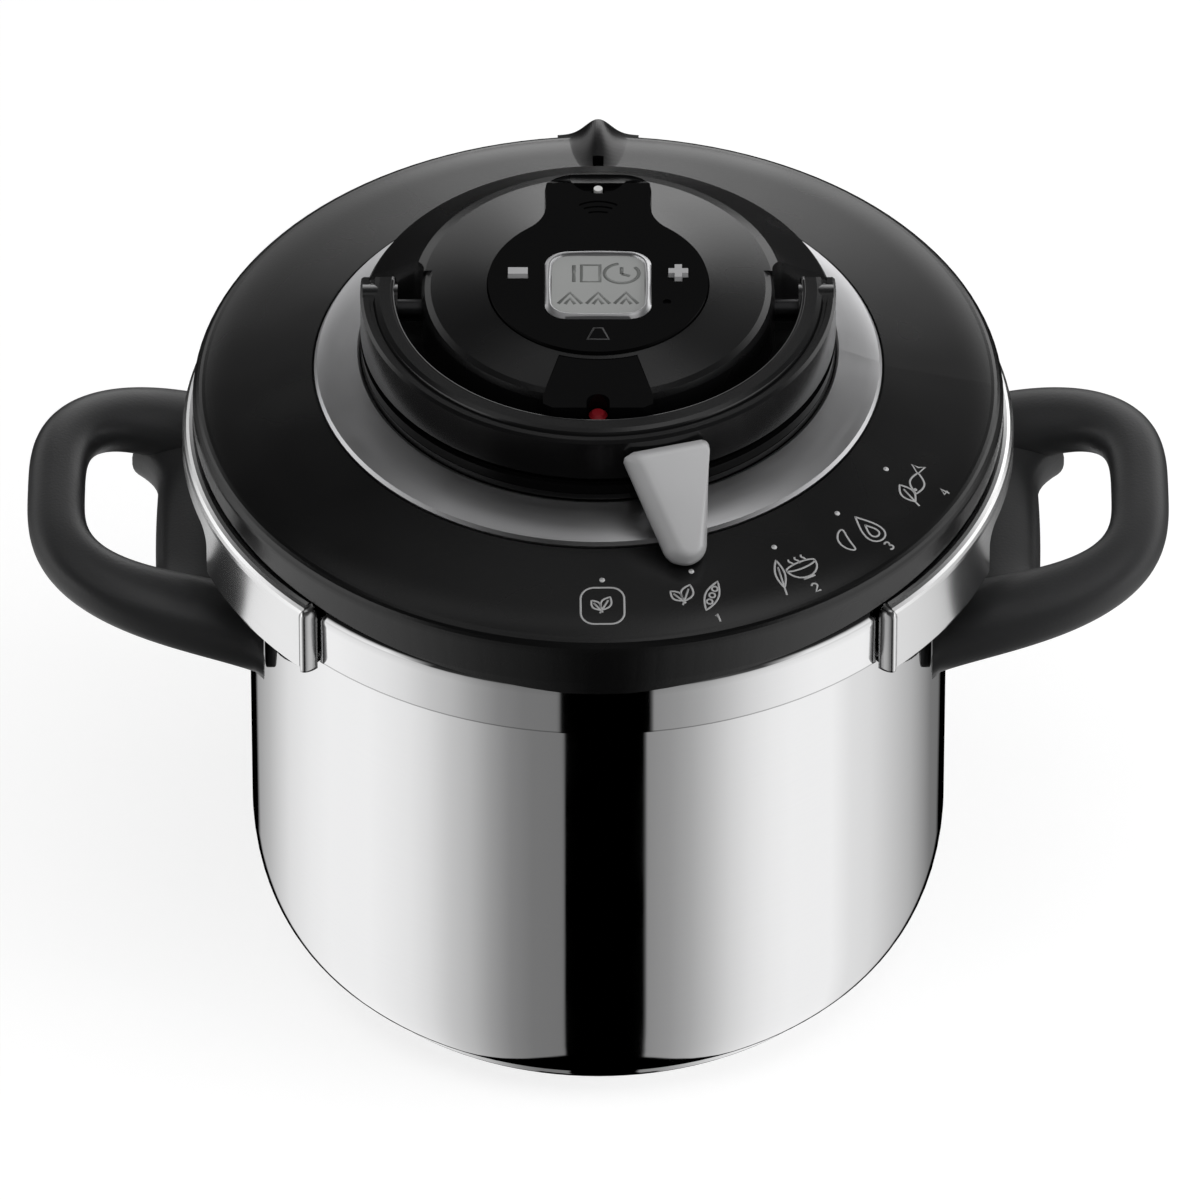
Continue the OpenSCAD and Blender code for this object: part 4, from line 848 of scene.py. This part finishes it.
# frame round the screen: a profile of (inwards, height) points carried round a rounded square; it is
# drawn in by bow * (x / half)^2 * (y / half)^2, growing from the foot to fullBow, so that the sides belly out
def screenBezel():
    low, high = (np.array(corner) * 1000 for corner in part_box("timer_frame"))
    half, middle = (high - low)[:2] / 2, (high + low)[:2] / 2
    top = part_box("timer_case")[1][2] * 1000
    corner, count = bezelLook["corner"], bezelLook["cornerPoints"]
    a = np.radians(np.concatenate([np.linspace(s, s + 90, count) for s in (0, 90, 180, 270)]))
    middles = np.repeat([(1, 1), (-1, 1), (-1, -1), (1, -1)], count, 0) * (half - corner)
    normal = np.stack([np.cos(a), np.sin(a)], 1)
    # straight stretches get points of their own, for the bow
    ring = middles + corner * normal
    fine = []
    for k in range(len(ring)):
        n = bezelLook["sidePoints"] if (k + 1) % count == 0 else 1
        f = np.linspace(0, 1, n, endpoint=False)[:, None]
        j = (k + 1) % len(ring)
        fine.append(np.hstack([ring[k] * (1 - f) + ring[j] * f, np.broadcast_to(normal[k], (n, 2))]))
    fine = np.concatenate(fine)
    ring, normal = fine[:, :2], fine[:, 2:]
    profile = np.array(bezelLook["profile"])
    bow = bezelLook["bow"] * (ring[:, 0] / half[0]) ** 2 * (ring[:, 1] / half[1]) ** 2
    inward = profile[:, 0][None, :] + bow[:, None] * np.clip(profile[:, 0] / bezelLook["fullBow"], 0, 1)[None, :]
    flat = ring[:, None, :] - normal[:, None, :] * inward[..., None] + middle
    height = np.broadcast_to(top + profile[:, 1][None, :], inward.shape)
    points = np.concatenate([flat, height[..., None]], 2) * 0.001
    rows, columns = points.shape[:2]
    return points.reshape(-1, 3), gridFaces(rows, columns, closeRows=True, closeColumns=True, flip=True)


points, faces = screenBezel()
piece = meshObject("screen_bezel", points, faces, finishes["satin_silver"], 50.0)
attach(piece, "timer")
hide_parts("timer_frame")
print("timer pieces ready")


stageLook = {
    "floorSize": 9.0, "floorGlow": 0.74, "floorTone": 0.36, "roomLight": 0.42,
    # lamps: name, place, aim, width, height, glow
    "lamps": [("panelTop", (0, -0.45, 1.7), (0, -0.2, 0.2), 1.7, 0.85, 2.4),
              ("panelRight", (1.5, -0.4, 0.6), (0, 0, 0.2), 1.0, 1.0, 4.5)],
    # camera; its span is the width that it sees at the target
    "elevation": 40.0, "distance": 6.0, "target": (0.0006, 0.0, 0.1206), "span": 0.3822, "sensor": 36.0, "clip": 60.0,
}


# plain floor: lit by itself for the camera, clear for mirrored rays, and it keeps the shadow
def makeFloor():
    size = stageLook["floorSize"]
    mesh = bpy.data.meshes.new("floor")
    mesh.from_pydata([(-size, -size, 0), (size, -size, 0), (size, size, 0), (-size, size, 0)], [], [(0, 1, 2, 3)])
    floor = sceneObject("floor", mesh)
    material, tree, surface = newMaterial("paleFloor")
    ray = addNode(tree, "ShaderNodeLightPath").outputs
    tone = stageLook["floorTone"]
    feed(tree, surface, Base_Color=grey(tone), Roughness=0.9, Specular_IOR_Level=0.1, Emission_Color=grey(1),
         Emission_Strength=times(tree, ray["Is Camera Ray"], stageLook["floorGlow"]))
    clear = addNode(tree, "ShaderNodeBsdfTransparent").outputs[0]
    mirrored = addNode(tree, "ShaderNodeMixShader", {0: ray["Is Glossy Ray"], 1: surface.outputs[0], 2: clear})
    tree.links.new(mirrored.outputs[0], tree.get_output_node("ALL").inputs["Surface"])
    mesh.materials.append(material)


# the room that polished surfaces mirror; each row is (place, brightness)
roomLook = {
    # below the horizon, by turn from straight in front (0) to straight behind (1), on each side
    "lowLeft": [(0.0, 0.0), (0.060, 0.0), (0.063, 0.18), (0.12, 0.19), (0.161, 0.24), (0.2, 0.35), (0.239, 0.5),
                (0.278, 0.6), (0.322, 0.76), (0.361, 0.85), (0.405, 0.9), (0.455, 0.95), (0.556, 0.95), (0.617, 0.9),
                (0.689, 0.79), (0.783, 0.5), (0.9, 0.26), (0.967, 0.15), (0.978, 0.03), (1.0, 0.02)],
    "lowRight": [(0.0, 0.0), (0.085, 0.0), (0.088, 0.26), (0.132, 0.32), (0.17, 0.41), (0.208, 0.545), (0.247, 0.7),
                 (0.287, 0.82), (0.328, 0.905), (0.372, 0.95), (0.464, 0.95), (0.514, 0.81), (0.57, 0.755),
                 (0.632, 0.62), (0.706, 0.464), (0.802, 0.19), (0.9, 0.15), (0.967, 0.12), (0.978, 0.03), (1.0, 0.02)],
    "darkMiddle": (0.0, 0.766, -0.643), "darkSize": (0.27, 0.32),
    "wedgeSpread": 3.3, "wedge": (0.27, 0.29),
    # above the horizon, by the sine of the height
    "front": [(0.0, 0.12), (0.5, 0.06), (0.8, 0.04), (0.96, 0.05), (0.985, 0.2), (1.0, 0.2)],
    "back": [(0.0, 2.0), (0.30, 2.0), (0.342, 1.8), (0.423, 1.2), (0.469, 0.75), (0.50, 0.5), (0.545, 0.33),
             (0.588, 0.2), (0.643, 0.15), (0.731, 0.14), (0.80, 0.03), (0.96, 0.05), (0.985, 0.2), (1.0, 0.2)],
    "backFrom": (0.5, 0.62), "horizon": (-0.07, 0.03),
    # panels that stand on the horizon at both sides, by turn
    "sides": [(0.24, 0.0), (0.31, 1.0), (0.62, 1.0), (0.74, 0.0)],
    "sideFoot": (-0.12, -0.02), "sideTop": (0.22, 0.42), "sideGlow": 1.3,
    # soft panels high on the right and, weaker, high on the left
    "rightFoot": (0.84, 0.90), "rightFrom": (0.03, 0.10), "rightGlow": 0.9,
    "leftFoot": (0.83, 0.87), "leftTop": (0.93, 0.96), "leftFrom": (-0.04, 0.08), "leftGlow": 0.52,
    # dark curtains low behind, from left to right
    "curtain": [(0.0, 0.38), (0.32, 0.40), (0.42, 1.0), (0.6, 1.0), (0.72, 0.8), (1.0, 0.8)],
    "curtainEnds": (-0.5, 0.5), "curtainTop": (0.80, 0.84),
}


# turn from straight in front to either side, as a share of the given angle
def turnShare(tree, split, whole):
    turn = mathNode(tree, "ARCTAN2", split[0], times(tree, split[1], -1.0))
    return mathNode(tree, "DIVIDE", mathNode(tree, "ABSOLUTE", turn), whole)


def makeWorld():
    world = bpy.data.worlds.new("studio")
    bpy.context.scene.world = world
    world.use_nodes = True
    tree = world.node_tree
    tree.nodes.clear()
    way = addNode(tree, "ShaderNodeTexCoord").outputs["Generated"]
    split = splitUp(tree, way)

    # 0 to 1 or back over a named range
    def rise(value, ends):
        return mapRange(tree, value, *roomLook[ends], 0.0, 1.0)

    def fall(value, ends):
        return mapRange(tree, value, *roomLook[ends], 1.0, 0.0)

    turn = turnShare(tree, split, math.pi)
    onRight = mathNode(tree, "GREATER_THAN", split[0], 0.0)
    # below the horizon the bands fan out from the middle of the dark patch low behind the object,
    # so that they run straight down a rounded corner
    middle = roomLook["darkMiddle"]
    fan = addNode(tree, "ShaderNodeVectorMath", {0: way, 1: [-c for c in middle]}, operation="ADD").outputs[0]
    far = addNode(tree, "ShaderNodeVectorMath", {0: fan}, operation="LENGTH").outputs["Value"]
    fan = addNode(tree, "ShaderNodeVectorMath", {0: fan}, operation="NORMALIZE").outputs[0]
    blade = splitUp(tree, fan)
    spread = turnShare(tree, blade, math.pi / 2)
    low = mixColor(tree, onRight, rampNode(tree, spread, roomLook["lowLeft"]),
                   rampNode(tree, spread, roomLook["lowRight"]))
    # the patch itself, and a dark wedge straight down under the object
    sideways = times(tree, times(tree, blade[0], blade[0]), roomLook["wedgeSpread"])
    wedge = mathNode(tree, "SUBTRACT", times(tree, blade[2], -1.0), sideways)
    lit = times(tree, rise(far, "darkSize"), fall(wedge, "wedge"))
    low = mixColor(tree, lit, grey(0), low)
    high = mixColor(tree, rise(turn, "backFrom"), rampNode(tree, split[2], roomLook["front"]),
                    rampNode(tree, split[2], roomLook["back"]))
    curtain = rampNode(tree, rise(split[0], "curtainEnds"), roomLook["curtain"])
    high = mixColor(tree, fall(split[2], "curtainTop"), high, mixColor(tree, 1.0, high, curtain, "MULTIPLY"))
    # soft panels high up
    strong, weak, glow = (roomLook[name] for name in ("rightGlow", "leftGlow", "sideGlow"))
    raised = times(tree, rise(split[2], "rightFoot"), rise(split[0], "rightFrom"))
    upper = mixColor(tree, raised, high, grey(strong))
    raised = times(tree, rise(split[2], "leftFoot"), fall(split[2], "leftTop"))
    raised = times(tree, raised, fall(split[0], "leftFrom"))
    upper = mixColor(tree, raised, upper, grey(weak))
    # side panels
    tall = times(tree, fall(split[2], "sideTop"), rise(split[2], "sideFoot"))
    side = times(tree, rampNode(tree, turn, roomLook["sides"]), tall)
    seen = mixColor(tree, side, mixColor(tree, rise(split[2], "horizon"), low, upper), grey(glow))
    ray = addNode(tree, "ShaderNodeLightPath").outputs
    room = stageLook["roomLight"]
    shine = mixColor(tree, ray["Is Glossy Ray"], grey(room), seen)
    full = mixColor(tree, ray["Is Camera Ray"], shine, grey(1))
    light = addNode(tree, "ShaderNodeBackground", {"Color": full, "Strength": 1.0})
    addNode(tree, "ShaderNodeOutputWorld", {"Surface": light.outputs[0]})


# rectangular lamp; its power is pi times the wanted glow times its area
def softPanel(name, place, aim, width, height, glow):
    lamp = bpy.data.lights.new(name, "AREA")
    lamp.shape = "RECTANGLE"
    lamp.size, lamp.size_y = width, height
    lamp.energy = math.pi * glow * width * height
    panel = sceneObject(name, lamp)
    panel.location = place
    panel.rotation_euler = (Vector(aim) - Vector(place)).to_track_quat("-Z", "Y").to_euler()
    panel.visible_glossy = False


# long lens, 40 degrees above the floor, straight in front
def makeCamera():
    view = stageLook
    lens = bpy.data.cameras.new("camera")
    lens.sensor_width = view["sensor"]
    lens.lens = view["sensor"] * view["distance"] / view["span"]
    lens.clip_end = view["clip"]
    camera = sceneObject("camera", lens)
    tilt = math.radians(view["elevation"])
    target = Vector(view["target"])
    camera.location = target + view["distance"] * Vector((0, -math.cos(tilt), math.sin(tilt)))
    camera.rotation_euler = (math.pi / 2 - tilt, 0, 0)
    bpy.context.scene.camera = camera


makeFloor()
makeWorld()
for lamp in stageLook["lamps"]:
    softPanel(*lamp)
makeCamera()
bpy.context.scene.view_settings.view_transform = "Standard"
print("stage ready")
